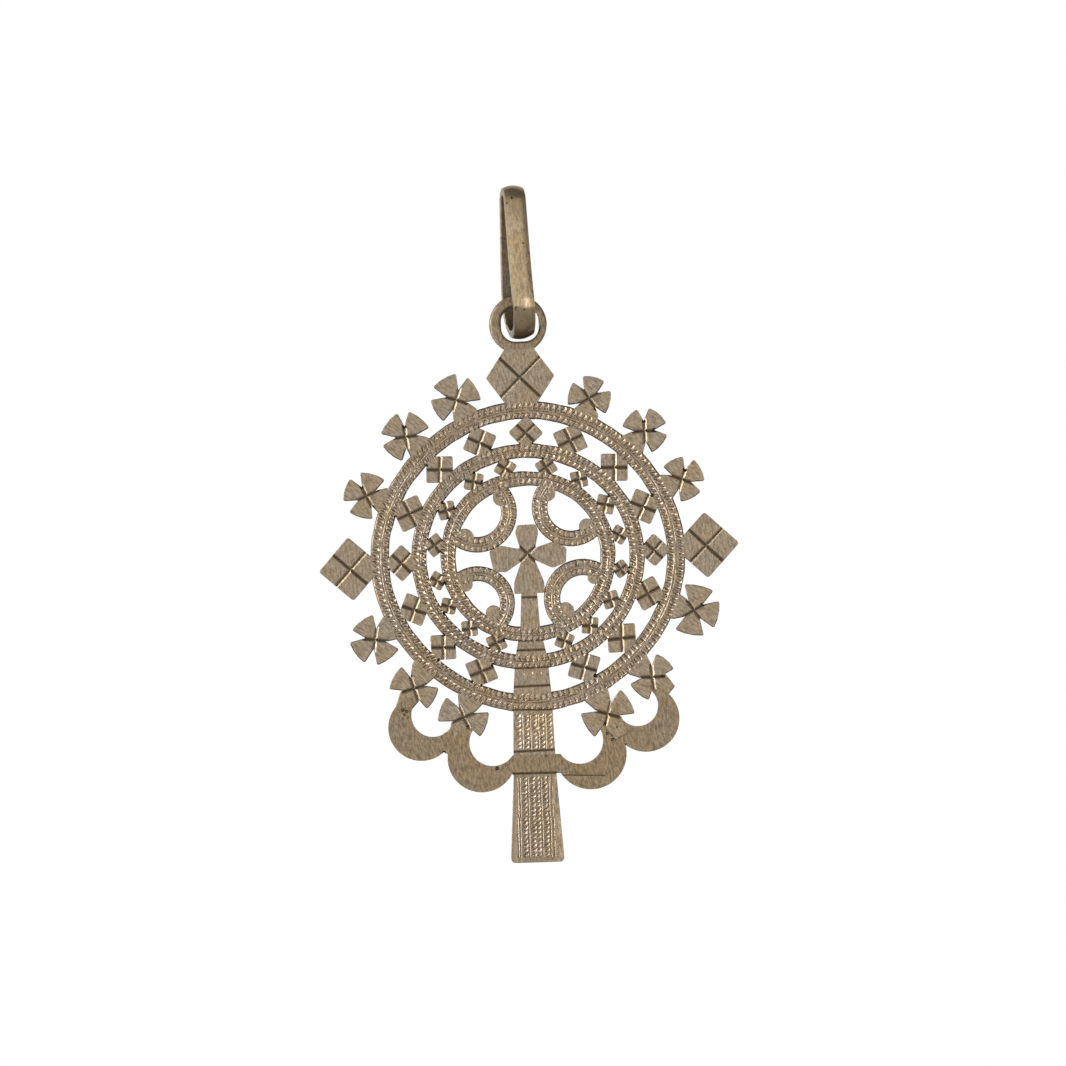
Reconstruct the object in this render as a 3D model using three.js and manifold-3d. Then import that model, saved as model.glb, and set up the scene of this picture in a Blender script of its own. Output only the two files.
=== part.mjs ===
// A neck cross: one pierced, flat casting that hangs from a loop of bent strip through its eye.
// Millimetres, +Z up, the front faces -Y. The origin is the inside top of the suspension ring,
// where a neck cord bears. The middle of the plate's thickness lies on y = 0.

import * as THREE from 'three';
import { mergeVertices } from 'three/addons/utils/BufferGeometryUtils.js';
import Module from 'manifold-3d';

const wasm = await Module();
wasm.setup();

// Sizes shared by both pieces
const plateThickness = 2.0;
const fitGap = 0.3; // between the ring and the eye that it bears in
const arcStep = 5; // degrees between the points of a large arc
const smallArcStep = 15; // degrees between the points of a small arc
const sliver = 0.005; // edges that the cuts leave shorter than this are merged

// Suspension ring: a strip, domed outside, bent to a long drop
const ringHeight = 20.0;
const stripWidth = 2.8;
const stripThickness = 1.3;
const stripCrown = 0.35; // rise of the domed outer face over its edges
const stripEdgeBreak = 0.15; // worn-off edge of the flat inner face
const ringBottomRadius = 4.6; // outside, where the ring turns through the eye
const ringTopRadius = 2.4; // outside, where the cord bears
const ringYaw = 11; // degrees that the loop is turned about the upright
const leanOffset = 0.05; // sideways drift of the loop from its top to its bottom
const curlOffset = 0.55; // further drift, nearly all of it near the bottom
const curlPower = 6;

// Bands, by their outer radius at the sides and their width. They are hand cut: low and corners are
// the shares of a radius that are missing above and below, and on the diagonals.
const outerBand = { radius: 20.45, width: 2.35, low: 0.012, corners: 0.015 };
const middleBand = { radius: 15.15, width: 1.95, low: 0.03, corners: 0 };
const innerBand = { radius: 11.35, width: 1.95, low: 0.025, corners: -0.015 };

// Lozenges between the outer and the middle band. Half a diagonal is half of the gap between the
// bands and the bite that the corners take of each band. The lists below give each motif the place
// and size that the maker's hand gave it, with angles in degrees.
const mediumInset = 0.2; // from halfway between the two bands, towards the middle
const mediumLozenges = [
  { angle: 0.5, bite: 0.7 }, { angle: 21, bite: 1.05 }, { angle: 43.5, bite: 1 },
  { angle: 67.5, bite: 1 }, { angle: 88.5, bite: 0.8 }, { angle: 110.5, bite: 0.9 },
  { angle: 133, bite: 0.95 }, { angle: 157.5, bite: 1.15 }, { angle: 180.5, bite: 0.95 },
  { angle: 202.5, bite: 0.9 }, { angle: 224.5, bite: 0.8 }, { angle: 245.5, bite: 0.9 },
  { angle: 294.5, bite: 1 }, { angle: 316.5, bite: 1.1 }, { angle: 340.5, bite: 0.95 },
];

// Lozenges between the middle and the inner band
const smallInset = 0.1;
const smallLozenges = [
  { angle: 11, bite: 0.525 }, { angle: 31.5, bite: 0.725 }, { angle: 54, bite: 0.575 },
  { angle: 76, bite: 0.675 }, { angle: 102, bite: 0.675 }, { angle: 123.5, bite: 0.725 },
  { angle: 148, bite: 0.675 }, { angle: 170.5, bite: 0.725 }, { angle: 192.5, bite: 0.475 },
  { angle: 209.5, bite: 0.475 }, { angle: 228.5, bite: 0.525 }, { angle: 247.5, bite: 0.675 },
  { angle: 291, bite: 0.575 }, { angle: 309.5, bite: 0.575 }, { angle: 330, bite: 0.575 },
  { angle: 350, bite: 0.425 },
];

// Small crosses round the outer band: their middles stand off it, and their arms reach out from
// there. Each is turned a few degrees off square, as it was sawn. Where a cross ends in a bracket
// lobe, that takes the place of the arm that points away.
const rimCrosses = [
  { angle: 24.3, turn: 0, stand: 2.15, reach: 2.95 },
  { angle: 44.7, turn: 2, stand: 2.25, reach: 3.0 },
  { angle: 66.4, turn: 8, stand: 2.0, reach: 2.95 },
  { angle: 112.2, turn: 6, stand: 2.35, reach: 3.3 },
  { angle: 133.1, turn: 6, stand: 2.25, reach: 3.25 },
  { angle: 156.9, turn: 4, stand: 2.15, reach: 3.15 },
  { angle: 206, turn: 8, stand: 2.4, reach: 3.35 },
  { angle: 226.7, turn: 12, stand: 2.6, reach: 3.2, endsInLobe: true },
  { angle: 245.8, turn: 2, stand: 2.4, reach: 3.45, endsInLobe: true },
  { angle: 294.4, turn: 4, stand: 2.8, reach: 3.55, endsInLobe: true },
  { angle: 313.5, turn: 4, stand: 2.45, reach: 3.05, endsInLobe: true },
  { angle: 339.7, turn: 6, stand: 2.4, reach: 3.6 },
];
const armHalfAngle = 31; // degrees from an arm's middle to its corners
const armTipCrown = 0.3; // bulge of an arm's end
const armNotch = 1.25; // from the middle of a cross to the notches between its arms
const stemNotch = 1.65; // the same for the two notches beside the stem
const stemHalfWidth = 1.7; // where the stem meets the band
const lobeNeckHalfWidth = 1.35;

// Large lozenges at the right, the left and the top, with their middles off the outer band
const sideLozenges = [
  { angle: 1.2, half: 4.3, stand: 2.75 },
  { angle: 181.6, half: 4.15, stand: 2.65 },
];
const topLozenge = { halfWidth: 4.4, halfHeight: 3.6, cornerHalfWidth: 1.95, stand: 2.9 };

// Eye that the ring hangs in
const eye = { radius: 3.75, gapFromLozenge: 3.25 };
const eyeHole = { halfWidth: 2.45, halfHeight: 2.25, offset: 0.25, squareness: 2.6 };
const ringSideShift = 0.35; // the ring bears this far to the right of the hole's middle

// Scrolls inside the inner band, and the two plain knobs that end each one
const scrolls = [
  {
    angle: 46.5, distance: 8.5, radius: 5.1, width: 2.05,
    knobs: [{ angle: 70.5, distance: 8.6, radius: 1.05 }, { angle: 24.5, distance: 8.6, radius: 1.05 }],
  },
  {
    angle: 136.9, distance: 8.75, radius: 5.2, width: 2.05,
    knobs: [{ angle: 112, distance: 8.4, radius: 1.1 }, { angle: 161.5, distance: 8.6, radius: 1.25 }],
  },
  {
    angle: 220.5, distance: 8.95, radius: 4.85, width: 1.95,
    knobs: [{ angle: 236, distance: 8.6, radius: 1.0 }, { angle: 201.5, distance: 8.9, radius: 0.95 }],
  },
  {
    angle: 320.5, distance: 8.95, radius: 5.1, width: 2.15,
    knobs: [{ angle: 302, distance: 8.6, radius: 1.15 }, { angle: 340, distance: 9.0, radius: 0.85 }],
  },
];

// Petals of the middle cross. Each has its waist, shoulder and tip at a distance, with half a width.
const petals = [
  {
    turn: 90.5, waist: { distance: 0.95, half: 1.05 }, shoulder: { distance: 2.75, half: 1.5 },
    tip: { distance: 3.75, half: 1.2 },
  },
  {
    turn: 190, waist: { distance: 1.2, half: 0.9 }, shoulder: { distance: 3.35, half: 1.8 },
    tip: { distance: 4.85, half: 1.35 },
  },
  {
    turn: 355, waist: { distance: 1.05, half: 0.85 }, shoulder: { distance: 3.3, half: 1.75 },
    tip: { distance: 5.0, half: 0.95 },
  },
  {
    turn: 270, waist: { distance: 1.0, half: 0.9 }, shoulder: { distance: 3.75, half: 1.95 },
    tip: { distance: 5.2, half: 2.0 },
  },
];
const petalCentreHeight = 0.4; // above the middle of the bands

// Half widths of the shaft, at the middle of the bands and where each band begins
const shaftTopHalfWidth = 0.75;
const shaftAtInnerBand = 1.3;
const shaftAtMiddleBand = 2.1;
const shaftAtOuterBand = 2.5;
const shaftTurn = -0.65; // degrees that the shaft is off square

// Foot: its top and its end, by how far they lie below the outer band
const footTop = 8.2;
const footEnd = 19.3;
const footTopHalfWidth = 2.8;
const footHalfWidth = 3.5;
const footCorner = 0.6;
const footBevel = { width: 0.85, depth: 0.45 }; // along the two long front edges

// Bracket lobes under the band, and the round gap in each one. Their middles stand off the band.
const lobes = [
  { angle: 235.6, stand: 5.75, radius: 4.3, gap: { angle: 236.6, stand: 3.65, radius: 2.8 } },
  { angle: 254.6, stand: 6.4, radius: 4.45, gap: { angle: 256.8, stand: 4.2, radius: 3.05 } },
  { angle: 285.2, stand: 6.4, radius: 4.65, gap: { angle: 283.2, stand: 4.4, radius: 3.05 } },
  { angle: 303.6, stand: 5.55, radius: 4.35, gap: { angle: 303.8, stand: 3.65, radius: 2.65 } },
];
const lobeBar = { top: 5.6, bottom: 8.05, halfWidth: 3.2 }; // below the band, across the shaft

// Chased grooves, and those across the shaft by how far they lie below the outside of a band
const groove = { width: 0.45, depth: 0.35 };
const shaftGrooves = [
  { band: innerBand, below: [-5.8, -0.2, 1.05] },
  { band: middleBand, below: [-0.3, 2.1] },
  { band: outerBand, below: [-0.35, 5.0, 7.9] },
];

const brassTone = 0x96866f;
const brassRoughness = 0.45;
const brassMetalness = 0.9;

const radians = THREE.MathUtils.degToRad;
const middle = new THREE.Vector2();

function polar(angle, distance) {
  return new THREE.Vector2(distance, 0).rotateAround(middle, radians(angle));
}

// How far a band's outer or inner edge lies from the middle in a direction
function bandShare(band, angle) {
  const low = band.low * Math.sin(radians(angle)) ** 2;
  const corners = band.corners * Math.sin(radians(2 * angle)) ** 2;
  return 1 - low - corners;
}

function outerEdge(band, angle) {
  return band.radius * bandShare(band, angle);
}

function innerEdge(band, angle) {
  return (band.radius - band.width) * bandShare(band, angle);
}

function beyondBands(angle, stand) {
  return polar(angle, outerEdge(outerBand, angle) + stand);
}

// The lozenges of a row between two bands, with the place and half diagonal of each
function rowBetween(outside, inside, inset, list) {
  const halfGap = (outside.radius - outside.width - inside.radius) / 2;
  return list.map(({ angle, bite }) => {
    const halfway = (innerEdge(outside, angle) + outerEdge(inside, angle)) / 2;
    return { angle, half: halfGap + bite, place: polar(angle, halfway - inset) };
  });
}

const rowLozenges = [
  ...rowBetween(outerBand, middleBand, mediumInset, mediumLozenges),
  ...rowBetween(middleBand, innerBand, smallInset, smallLozenges),
];

// Solids

function solidOf(geometry) {
  const bare = geometry.clone();
  bare.deleteAttribute('normal');
  bare.deleteAttribute('uv');
  const merged = mergeVertices(bare, 1e-5);
  return new wasm.Manifold(new wasm.Mesh({
    numProp: 3,
    vertProperties: new Float32Array(merged.attributes.position.array),
    triVerts: new Uint32Array(merged.index.array),
  }));
}

function geometryOf(solid) {
  const mesh = solid.getMesh();
  const geometry = new THREE.BufferGeometry();
  geometry.setAttribute('position', new THREE.BufferAttribute(mesh.vertProperties, 3));
  geometry.setIndex(new THREE.BufferAttribute(mesh.triVerts, 1));
  geometry.computeVertexNormals();
  return geometry;
}

// A flat motif of the plate's thickness. Its outline is drawn in x to the right and y upwards.
function plateSolid(shape) {
  const geometry = new THREE.ExtrudeGeometry(shape, { depth: plateThickness, bevelEnabled: false });
  geometry.rotateX(Math.PI / 2);
  geometry.translate(0, plateThickness / 2, 0);
  return solidOf(geometry);
}

function join(solids) {
  return solids.reduce((whole, solid) => whole.add(solid));
}

// Outlines

function arcPoints(centre, radius, from, to, step) {
  const count = Math.max(2, Math.ceil(Math.abs(to - from) / step));
  return Array.from({ length: count + 1 }, (_, i) =>
    polar(from + ((to - from) * i) / count, radius).add(centre));
}

function discShape(centre, radius, step) {
  return new THREE.Shape(arcPoints(centre, radius, 0, 360, step).slice(0, -1));
}

function ringShape(centre, inner, outer, step) {
  const shape = discShape(centre, outer, step);
  shape.holes.push(new THREE.Path(arcPoints(centre, inner, 0, 360, step).slice(0, -1)));
  return shape;
}

// An outline drawn with its axis along +y, then turned to point along the angle and set at the place
function placed(points, angle, place) {
  const turn = radians(angle - 90);
  return new THREE.Shape(points.map(([x, y]) =>
    new THREE.Vector2(x, y).rotateAround(middle, turn).add(place)));
}

function bandShape(band) {
  const angles = Array.from({ length: 360 / arcStep }, (_, i) => i * arcStep);
  const points = (edge) => angles.map((angle) => polar(angle, edge(band, angle)));
  const shape = new THREE.Shape(points(outerEdge));
  shape.holes.push(new THREE.Path(points(innerEdge)));
  return shape;
}

function lozenge(angle, half, place) {
  return placed([[half, 0], [0, half], [-half, 0], [0, -half]], angle, place);
}

// A flared arm with a bulging end, drawn along +y from the middle of its cross
function armPoints(reach) {
  const tipHalf = reach * Math.sin(radians(armHalfAngle));
  const tipHeight = reach * Math.cos(radians(armHalfAngle));
  const notch = armNotch * Math.SQRT1_2;
  return [
    [-notch, -notch], [notch, -notch], [notch, notch], [tipHalf, tipHeight],
    [tipHalf / 2, tipHeight + armTipCrown * 0.75], [-tipHalf / 2, tipHeight + armTipCrown * 0.75],
    [-tipHalf, tipHeight], [-notch, notch],
  ];
}

function rimCross({ angle, turn, stand, reach, endsInLobe }) {
  const place = beyondBands(angle, stand);
  const heading = angle + turn;
  const notch = stemNotch * Math.SQRT1_2;
  const root = -stand - outerBand.width / 2;
  const stem = [
    [-stemHalfWidth, root], [stemHalfWidth, root], [stemHalfWidth, -stand],
    [notch, -notch], [notch, 0], [-notch, 0], [-notch, -notch], [-stemHalfWidth, -stand],
  ];
  const solids = [
    plateSolid(placed(stem, heading, place)),
    plateSolid(placed(armPoints(reach), heading + 90, place)),
    plateSolid(placed(armPoints(reach), heading - 90, place)),
  ];
  if (endsInLobe) {
    const neck = [
      [-lobeNeckHalfWidth, 0], [lobeNeckHalfWidth, 0],
      [lobeNeckHalfWidth, reach], [-lobeNeckHalfWidth, reach],
    ];
    solids.push(plateSolid(placed(neck, heading, place)));
  } else {
    solids.push(plateSolid(placed(armPoints(reach), heading, place)));
  }
  return join(solids);
}

// Grooves

// A V-shaped cutter that lies along a line on the front face, with the place at its middle. It
// stands out of the face by its own depth, where the V is twice as wide.
function grooveCutter(place, angle, length, { width, depth } = groove) {
  const profile = new THREE.Shape([
    new THREE.Vector2(0, depth),
    new THREE.Vector2(-width, -depth),
    new THREE.Vector2(width, -depth),
  ]);
  const geometry = new THREE.ExtrudeGeometry(profile, { depth: length, bevelEnabled: false });
  geometry.translate(0, 0, -length / 2);
  geometry.rotateY(Math.PI / 2 - radians(angle));
  geometry.translate(place.x, -plateThickness / 2, place.y);
  return solidOf(geometry);
}

// Two grooves that cross at right angles, half a right angle off the motif's own axis
function crossedGrooves(angle, place, length) {
  return [
    grooveCutter(place, angle + 45, length),
    grooveCutter(place, angle - 45, length),
  ];
}

// Places that several motifs share, from the middle of the bands

const topLozengeHeight = outerBand.radius + topLozenge.stand;
const eyeHeight = topLozengeHeight + topLozenge.halfHeight + eye.gapFromLozenge;
const eyeCentre = new THREE.Vector2(0, eyeHeight);
const holeCentre = new THREE.Vector2(eyeHole.offset, eyeHeight);

function superellipsePoints(centre, halfWidth, halfHeight, power, step) {
  const count = Math.ceil(360 / step);
  return Array.from({ length: count }, (_, i) => {
    const angle = (2 * Math.PI * i) / count;
    const c = Math.cos(angle);
    const s = Math.sin(angle);
    return new THREE.Vector2(
      halfWidth * Math.sign(c) * Math.abs(c) ** (2 / power),
      halfHeight * Math.sign(s) * Math.abs(s) ** (2 / power),
    ).add(centre);
  });
}

function bands() {
  return join([outerBand, middleBand, innerBand].map((band) =>
    plateSolid(bandShape(band))));
}

function lozengeRows() {
  return join(rowLozenges.map(({ angle, half, place }) => plateSolid(lozenge(angle, half, place))));
}

function largeLozenges() {
  const { halfWidth, halfHeight, cornerHalfWidth } = topLozenge;
  const root = topLozenge.stand + outerBand.width / 2;
  const top = [
    [halfWidth, 0], [cornerHalfWidth, halfHeight], [-cornerHalfWidth, halfHeight],
    [-halfWidth, 0], [-cornerHalfWidth, -halfHeight], [-cornerHalfWidth, -root],
    [cornerHalfWidth, -root], [cornerHalfWidth, -halfHeight],
  ];
  return join([
    plateSolid(placed(top, 90, new THREE.Vector2(0, topLozengeHeight))),
    ...sideLozenges.map(({ angle, half, stand }) =>
      plateSolid(lozenge(angle, half, beyondBands(angle, stand)))),
  ]);
}

function eyeDisc() {
  const neck = [
    [-topLozenge.cornerHalfWidth, -eye.gapFromLozenge], [topLozenge.cornerHalfWidth, -eye.gapFromLozenge],
    [topLozenge.cornerHalfWidth, 0], [-topLozenge.cornerHalfWidth, 0],
  ];
  return join([
    plateSolid(discShape(eyeCentre, eye.radius, smallArcStep / 2)),
    plateSolid(placed(neck, 90, eyeCentre)),
  ]);
}

function eyeHoleCutter() {
  const { halfWidth, halfHeight, squareness } = eyeHole;
  const shape = new THREE.Shape(
    superellipsePoints(holeCentre, halfWidth, halfHeight, squareness, smallArcStep));
  const geometry = new THREE.ExtrudeGeometry(shape, { depth: plateThickness * 2, bevelEnabled: false });
  geometry.rotateX(Math.PI / 2);
  geometry.translate(0, plateThickness, 0);
  return solidOf(geometry);
}

function disc({ angle, distance, radius }, step) {
  return plateSolid(discShape(polar(angle, distance), radius, step));
}

function scroll({ angle, distance, radius, width, knobs }) {
  const curl = plateSolid(ringShape(polar(angle, distance), radius - width, radius, arcStep * 2));
  const halfOfBand = innerBand.radius - innerBand.width / 2;
  const inside = plateSolid(discShape(middle, halfOfBand, arcStep));
  return join([curl.intersect(inside), ...knobs.map((knob) => disc(knob, smallArcStep * 2))]);
}

function middleCross() {
  const place = new THREE.Vector2(0, petalCentreHeight);
  return join(petals.map(({ turn, waist, shoulder, tip }) => {
    const side = [{ distance: 0, half: waist.half }, waist, shoulder, tip];
    const right = side.map(({ distance, half }) => [half, distance]);
    const left = side.map(({ distance, half }) => [-half, distance]).reverse();
    return plateSolid(placed([...right, ...left], turn, place));
  }));
}

// Shaft and foot. Both are drawn downwards from the middle of the bands.

const shaftAngle = 270 + shaftTurn;
const footTopDown = outerBand.radius + footTop;
const footEndDown = outerBand.radius + footEnd;
const shaftStations = [
  [0, shaftTopHalfWidth],
  [innerBand.radius - innerBand.width, shaftAtInnerBand],
  [middleBand.radius - middleBand.width, shaftAtMiddleBand],
  [outerBand.radius - outerBand.width, shaftAtOuterBand],
  [footTopDown, footTopHalfWidth],
];

function shaft() {
  const right = shaftStations.map(([down, half]) => [half, down]);
  const left = shaftStations.map(([down, half]) => [-half, down]).reverse();
  return plateSolid(placed([...right, ...left], shaftAngle, middle));
}

function shaftHalfWidth(down) {
  const next = shaftStations.findIndex(([at]) => at >= down);
  const [from, fromHalf] = shaftStations[next - 1];
  const [to, toHalf] = shaftStations[next];
  return THREE.MathUtils.mapLinear(down, from, to, fromHalf, toHalf);
}

function acrossShaft() {
  return shaftGrooves.flatMap(({ band, below }) => below.map((distance) => {
    const down = outerEdge(band, shaftAngle) + distance;
    return grooveCutter(polar(shaftAngle, down), shaftTurn, shaftHalfWidth(down) * 2);
  }));
}

function foot() {
  const corner = (side) => arcPoints(
    new THREE.Vector2(side * (footHalfWidth - footCorner), footEndDown - footCorner),
    footCorner, side > 0 ? 0 : 90, side > 0 ? 90 : 180, smallArcStep * 2,
  ).map((point) => [point.x, point.y]);
  const outline = [
    [footTopHalfWidth, footTopDown], ...corner(1), ...corner(-1), [-footTopHalfWidth, footTopDown],
  ];
  return plateSolid(placed(outline, shaftAngle, middle));
}

// Each bevel is half of a wide groove that lies along a side of the foot
function footBevels() {
  const length = footEndDown - footTopDown;
  const halfWay = (footHalfWidth + footTopHalfWidth) / 2;
  const spread = THREE.MathUtils.radToDeg(Math.atan2(footHalfWidth - footTopHalfWidth, length));
  return [-1, 1].map((side) => {
    const place = polar(shaftAngle, footTopDown + length / 2).add(polar(shaftTurn, side * halfWay));
    return grooveCutter(
      place, shaftAngle + side * spread, length, { width: footBevel.width * 2, depth: footBevel.depth });
  });
}

function bracket() {
  const offBand = ({ stand, ...rest }) => disc({ ...rest, distance: outerBand.radius + stand }, arcStep * 2);
  const { top, bottom, halfWidth } = lobeBar;
  const down = outerEdge(outerBand, shaftAngle);
  const bar = [
    [-halfWidth, down + top], [halfWidth, down + top],
    [halfWidth, down + bottom], [-halfWidth, down + bottom],
  ];
  const whole = join(lobes.map(offBand));
  const open = lobes.reduce((solid, { gap }) => solid.subtract(offBand(gap)), whole);
  return open.add(plateSolid(placed(bar, shaftAngle, middle)));
}

function grooves() {
  const cutters = [];
  for (const { angle, half, place } of rowLozenges) {
    cutters.push(...crossedGrooves(angle, place, half * Math.SQRT2));
  }
  for (const { angle, turn, stand } of rimCrosses) {
    cutters.push(...crossedGrooves(angle + turn, beyondBands(angle, stand), stemNotch * 2));
  }
  for (const { angle, half, stand } of sideLozenges) {
    cutters.push(...crossedGrooves(angle, beyondBands(angle, stand), half * Math.SQRT2));
  }
  const topPlace = new THREE.Vector2(0, topLozengeHeight);
  cutters.push(...crossedGrooves(90, topPlace, topLozenge.halfWidth * Math.SQRT2));
  cutters.push(...acrossShaft(), ...footBevels());
  return join(cutters);
}

function crossPlate() {
  const whole = join([
    bands(), lozengeRows(), largeLozenges(), eyeDisc(), ...rimCrosses.map(rimCross),
    ...scrolls.map(scroll), middleCross(), shaft(), foot(), bracket(),
  ]);
  return whole.subtract(eyeHoleCutter()).subtract(grooves()).simplify(sliver);
}

// The ring

const ringSlope = Math.asin(
  (ringBottomRadius - ringTopRadius) / (ringHeight - ringBottomRadius - ringTopRadius));

// The loop's middle line in its own plane, seen from the side: depth and height over the lowest
// point of the outside, with the direction that points away from the loop
function loopStations() {
  const bottom = { radius: ringBottomRadius - stripThickness / 2, height: ringBottomRadius };
  const top = { radius: ringTopRadius - stripThickness / 2, height: ringHeight - ringTopRadius };
  const slope = THREE.MathUtils.radToDeg(ringSlope);
  const station = (arc, angle) => ({
    depth: arc.radius * Math.cos(radians(angle)),
    height: arc.height + arc.radius * Math.sin(radians(angle)),
    away: angle,
  });
  const arc = (which, from, to, count) =>
    Array.from({ length: count + 1 }, (_, i) => station(which, from + ((to - from) * i) / count));
  const leg = (start, end, count) =>
    Array.from({ length: count - 1 }, (_, i) => {
      const part = (i + 1) / count;
      return {
        depth: THREE.MathUtils.lerp(start.depth, end.depth, part),
        height: THREE.MathUtils.lerp(start.height, end.height, part),
        away: start.away,
      };
    });
  const lower = arc(bottom, -180 - slope, slope, 26);
  const upper = arc(top, slope, 180 - slope, 14);
  return [
    ...lower, ...leg(lower.at(-1), upper[0], 8),
    ...upper, ...leg(upper.at(-1), { ...lower[0], away: 180 - slope }, 8),
  ];
}

// The strip's section: width across the loop, and height away from it
function stripSection() {
  const half = stripWidth / 2;
  const crownPoint = (share) => [half * share, stripThickness / 2 - stripCrown * share ** 2];
  const inner = -stripThickness / 2;
  return [
    [-half, inner + stripEdgeBreak], [-half + stripEdgeBreak, inner],
    [half - stripEdgeBreak, inner], [half, inner + stripEdgeBreak],
    ...[1, 0.72, 0.36, 0, -0.36, -0.72, -1].map(crownPoint),
  ];
}

// How far the loop has drifted sideways at a height, and how steeply
function drift(height) {
  const share = 1 - height / ringHeight;
  return {
    sideways: leanOffset * share + curlOffset * share ** curlPower,
    slope: (leanOffset + curlOffset * curlPower * share ** (curlPower - 1)) / ringHeight,
  };
}

function suspensionRing() {
  const stations = loopStations();
  const section = stripSection();
  const yaw = radians(ringYaw);
  const topDrift = drift(ringHeight - stripThickness).sideways;
  const positions = [];
  for (const { depth, height, away } of stations) {
    for (const [across, outward] of section) {
      const pointDepth = depth + outward * Math.cos(radians(away));
      const pointHeight = height + outward * Math.sin(radians(away));
      const { sideways, slope } = drift(pointHeight);
      const tilt = Math.atan(slope);
      const x = sideways - topDrift + across * Math.cos(tilt);
      const z = pointHeight + across * Math.sin(tilt) - (ringHeight - stripThickness);
      positions.push(
        x * Math.cos(yaw) - pointDepth * Math.sin(yaw),
        x * Math.sin(yaw) + pointDepth * Math.cos(yaw),
        z,
      );
    }
  }
  const index = [];
  const around = section.length;
  const corner = (i, j) => (i % stations.length) * around + (j % around);
  for (let i = 0; i < stations.length; i += 1) {
    for (let j = 0; j < around; j += 1) {
      index.push(corner(i, j), corner(i, j + 1), corner(i + 1, j + 1));
      index.push(corner(i, j), corner(i + 1, j + 1), corner(i + 1, j));
    }
  }
  const geometry = new THREE.BufferGeometry();
  geometry.setAttribute('position', new THREE.Float32BufferAttribute(positions, 3));
  geometry.setIndex(index);
  geometry.computeVertexNormals();
  return geometry;
}

function metal() {
  return new THREE.MeshStandardMaterial({
    color: brassTone,
    roughness: brassRoughness,
    metalness: brassMetalness,
  });
}

const ring = new THREE.Mesh(suspensionRing(), metal());
ring.name = 'suspension_ring';

// The plate hangs where its hole clears the lowest point of the ring by the fit gap
const ringBox = new THREE.Box3().setFromObject(ring);
const ringBottomSideways = (drift(0).sideways - drift(ringHeight - stripThickness).sideways)
  * Math.cos(radians(ringYaw));
const plate = new THREE.Mesh(geometryOf(crossPlate()), metal());
plate.name = 'cross_plate';
plate.position.set(
  ringBottomSideways - ringSideShift - holeCentre.x,
  0,
  ringBox.min.z - fitGap + eyeHole.halfHeight - holeCentre.y,
);

const cross = new THREE.Group();
cross.add(plate, ring);

export default cross;
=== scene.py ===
# %% [markdown]
# # A pierced neck cross on its ring
# The object is a small cross of pale copper alloy, cast flat, sawn through, filed and chased by
# hand, that hangs from a loop of bent strip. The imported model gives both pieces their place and
# their size. This lesson builds the same two pieces again with the marks of the tools on them:
# softened edges, crossed grooves, graver lines and hundreds of punch marks.

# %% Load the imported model
import math
import random

import bmesh
import bpy
from mathutils import Matrix, Vector, noise


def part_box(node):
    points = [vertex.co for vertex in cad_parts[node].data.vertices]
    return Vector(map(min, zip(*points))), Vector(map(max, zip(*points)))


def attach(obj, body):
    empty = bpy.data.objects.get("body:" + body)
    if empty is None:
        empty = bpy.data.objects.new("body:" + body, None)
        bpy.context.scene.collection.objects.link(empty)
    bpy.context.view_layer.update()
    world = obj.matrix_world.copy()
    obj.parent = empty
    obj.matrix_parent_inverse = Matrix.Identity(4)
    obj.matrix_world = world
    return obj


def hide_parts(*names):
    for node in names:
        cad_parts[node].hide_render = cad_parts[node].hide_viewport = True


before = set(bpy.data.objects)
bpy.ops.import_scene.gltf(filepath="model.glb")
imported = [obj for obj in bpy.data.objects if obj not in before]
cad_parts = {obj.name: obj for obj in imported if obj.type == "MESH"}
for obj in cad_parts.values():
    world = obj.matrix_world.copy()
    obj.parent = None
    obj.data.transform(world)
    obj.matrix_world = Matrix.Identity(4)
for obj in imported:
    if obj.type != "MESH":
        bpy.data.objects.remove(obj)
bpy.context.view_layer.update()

plate_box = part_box("cross_plate")
ring_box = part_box("suspension_ring")
print("cross plate from", plate_box[0], "to", plate_box[1])
print("suspension ring from", ring_box[0], "to", ring_box[1])

# %% [markdown]
# ## The bench
# The pieces are a few millimetres thick, and many of Blender's tools take their smallest steps for
# things of a metre. So both pieces are modelled on a bench where one unit is a millimetre, and are
# made smaller when they are set in their place. The cross lies on its back: X runs to the right, Y
# to the top of the cross, and Z out of its front. An operator works on all that is selected, so
# each step first selects just what it needs. Every piece gets the same six finishes in the same
# order, so that a face keeps its own finish when pieces are joined or cut. Their nodes come last.

# %% Bench helpers
MM = 0.001
PLATE = 2.0  # thickness of the cross
FRONT = PLATE / 2  # height of its front face over the middle of the plate
# The fifth finish is painted near black: old dirt, and painted shade in saw nicks and under edges
# that look down.
FILED, SLANTED, CUT, STRUCK, DIRT_AND_SHADE, CAST = range(6)
finishes = [
    bpy.data.materials.new(name)
    for name in (
        "filed_upright", "filed_slanted", "cut_groove", "struck_mark", "dirt_and_shade_corner", "rough_cast")]
hand = random.Random(7)  # the unevenness of the maker's hand, the same at each run


def alone(piece):
    """Makes a piece the only one selected, and the one that the next operator works on."""
    bpy.ops.object.select_all(action="DESELECT")
    piece.select_set(True)
    bpy.context.view_layer.objects.active = piece
    return piece


def new_piece(name, finish=FILED):
    """Names the primitive that was just added, and gives it one of the finishes."""
    piece = bpy.context.object
    piece.name = name
    for material in finishes:
        piece.data.materials.append(material)
    for face in piece.data.polygons:
        face.material_index = finish
    return piece


def settle(piece):
    """Writes a piece's place, turn and scale into its mesh."""
    alone(piece)
    bpy.ops.object.transform_apply(location=True, rotation=True, scale=True)
    return piece


def edit(piece):
    """Opens a piece in edit mode, with all of it selected."""
    alone(piece)
    bpy.ops.object.mode_set(mode="EDIT")
    bpy.ops.mesh.select_all(action="SELECT")


def leave():
    """Goes back to object mode."""
    bpy.ops.object.mode_set(mode="OBJECT")


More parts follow.
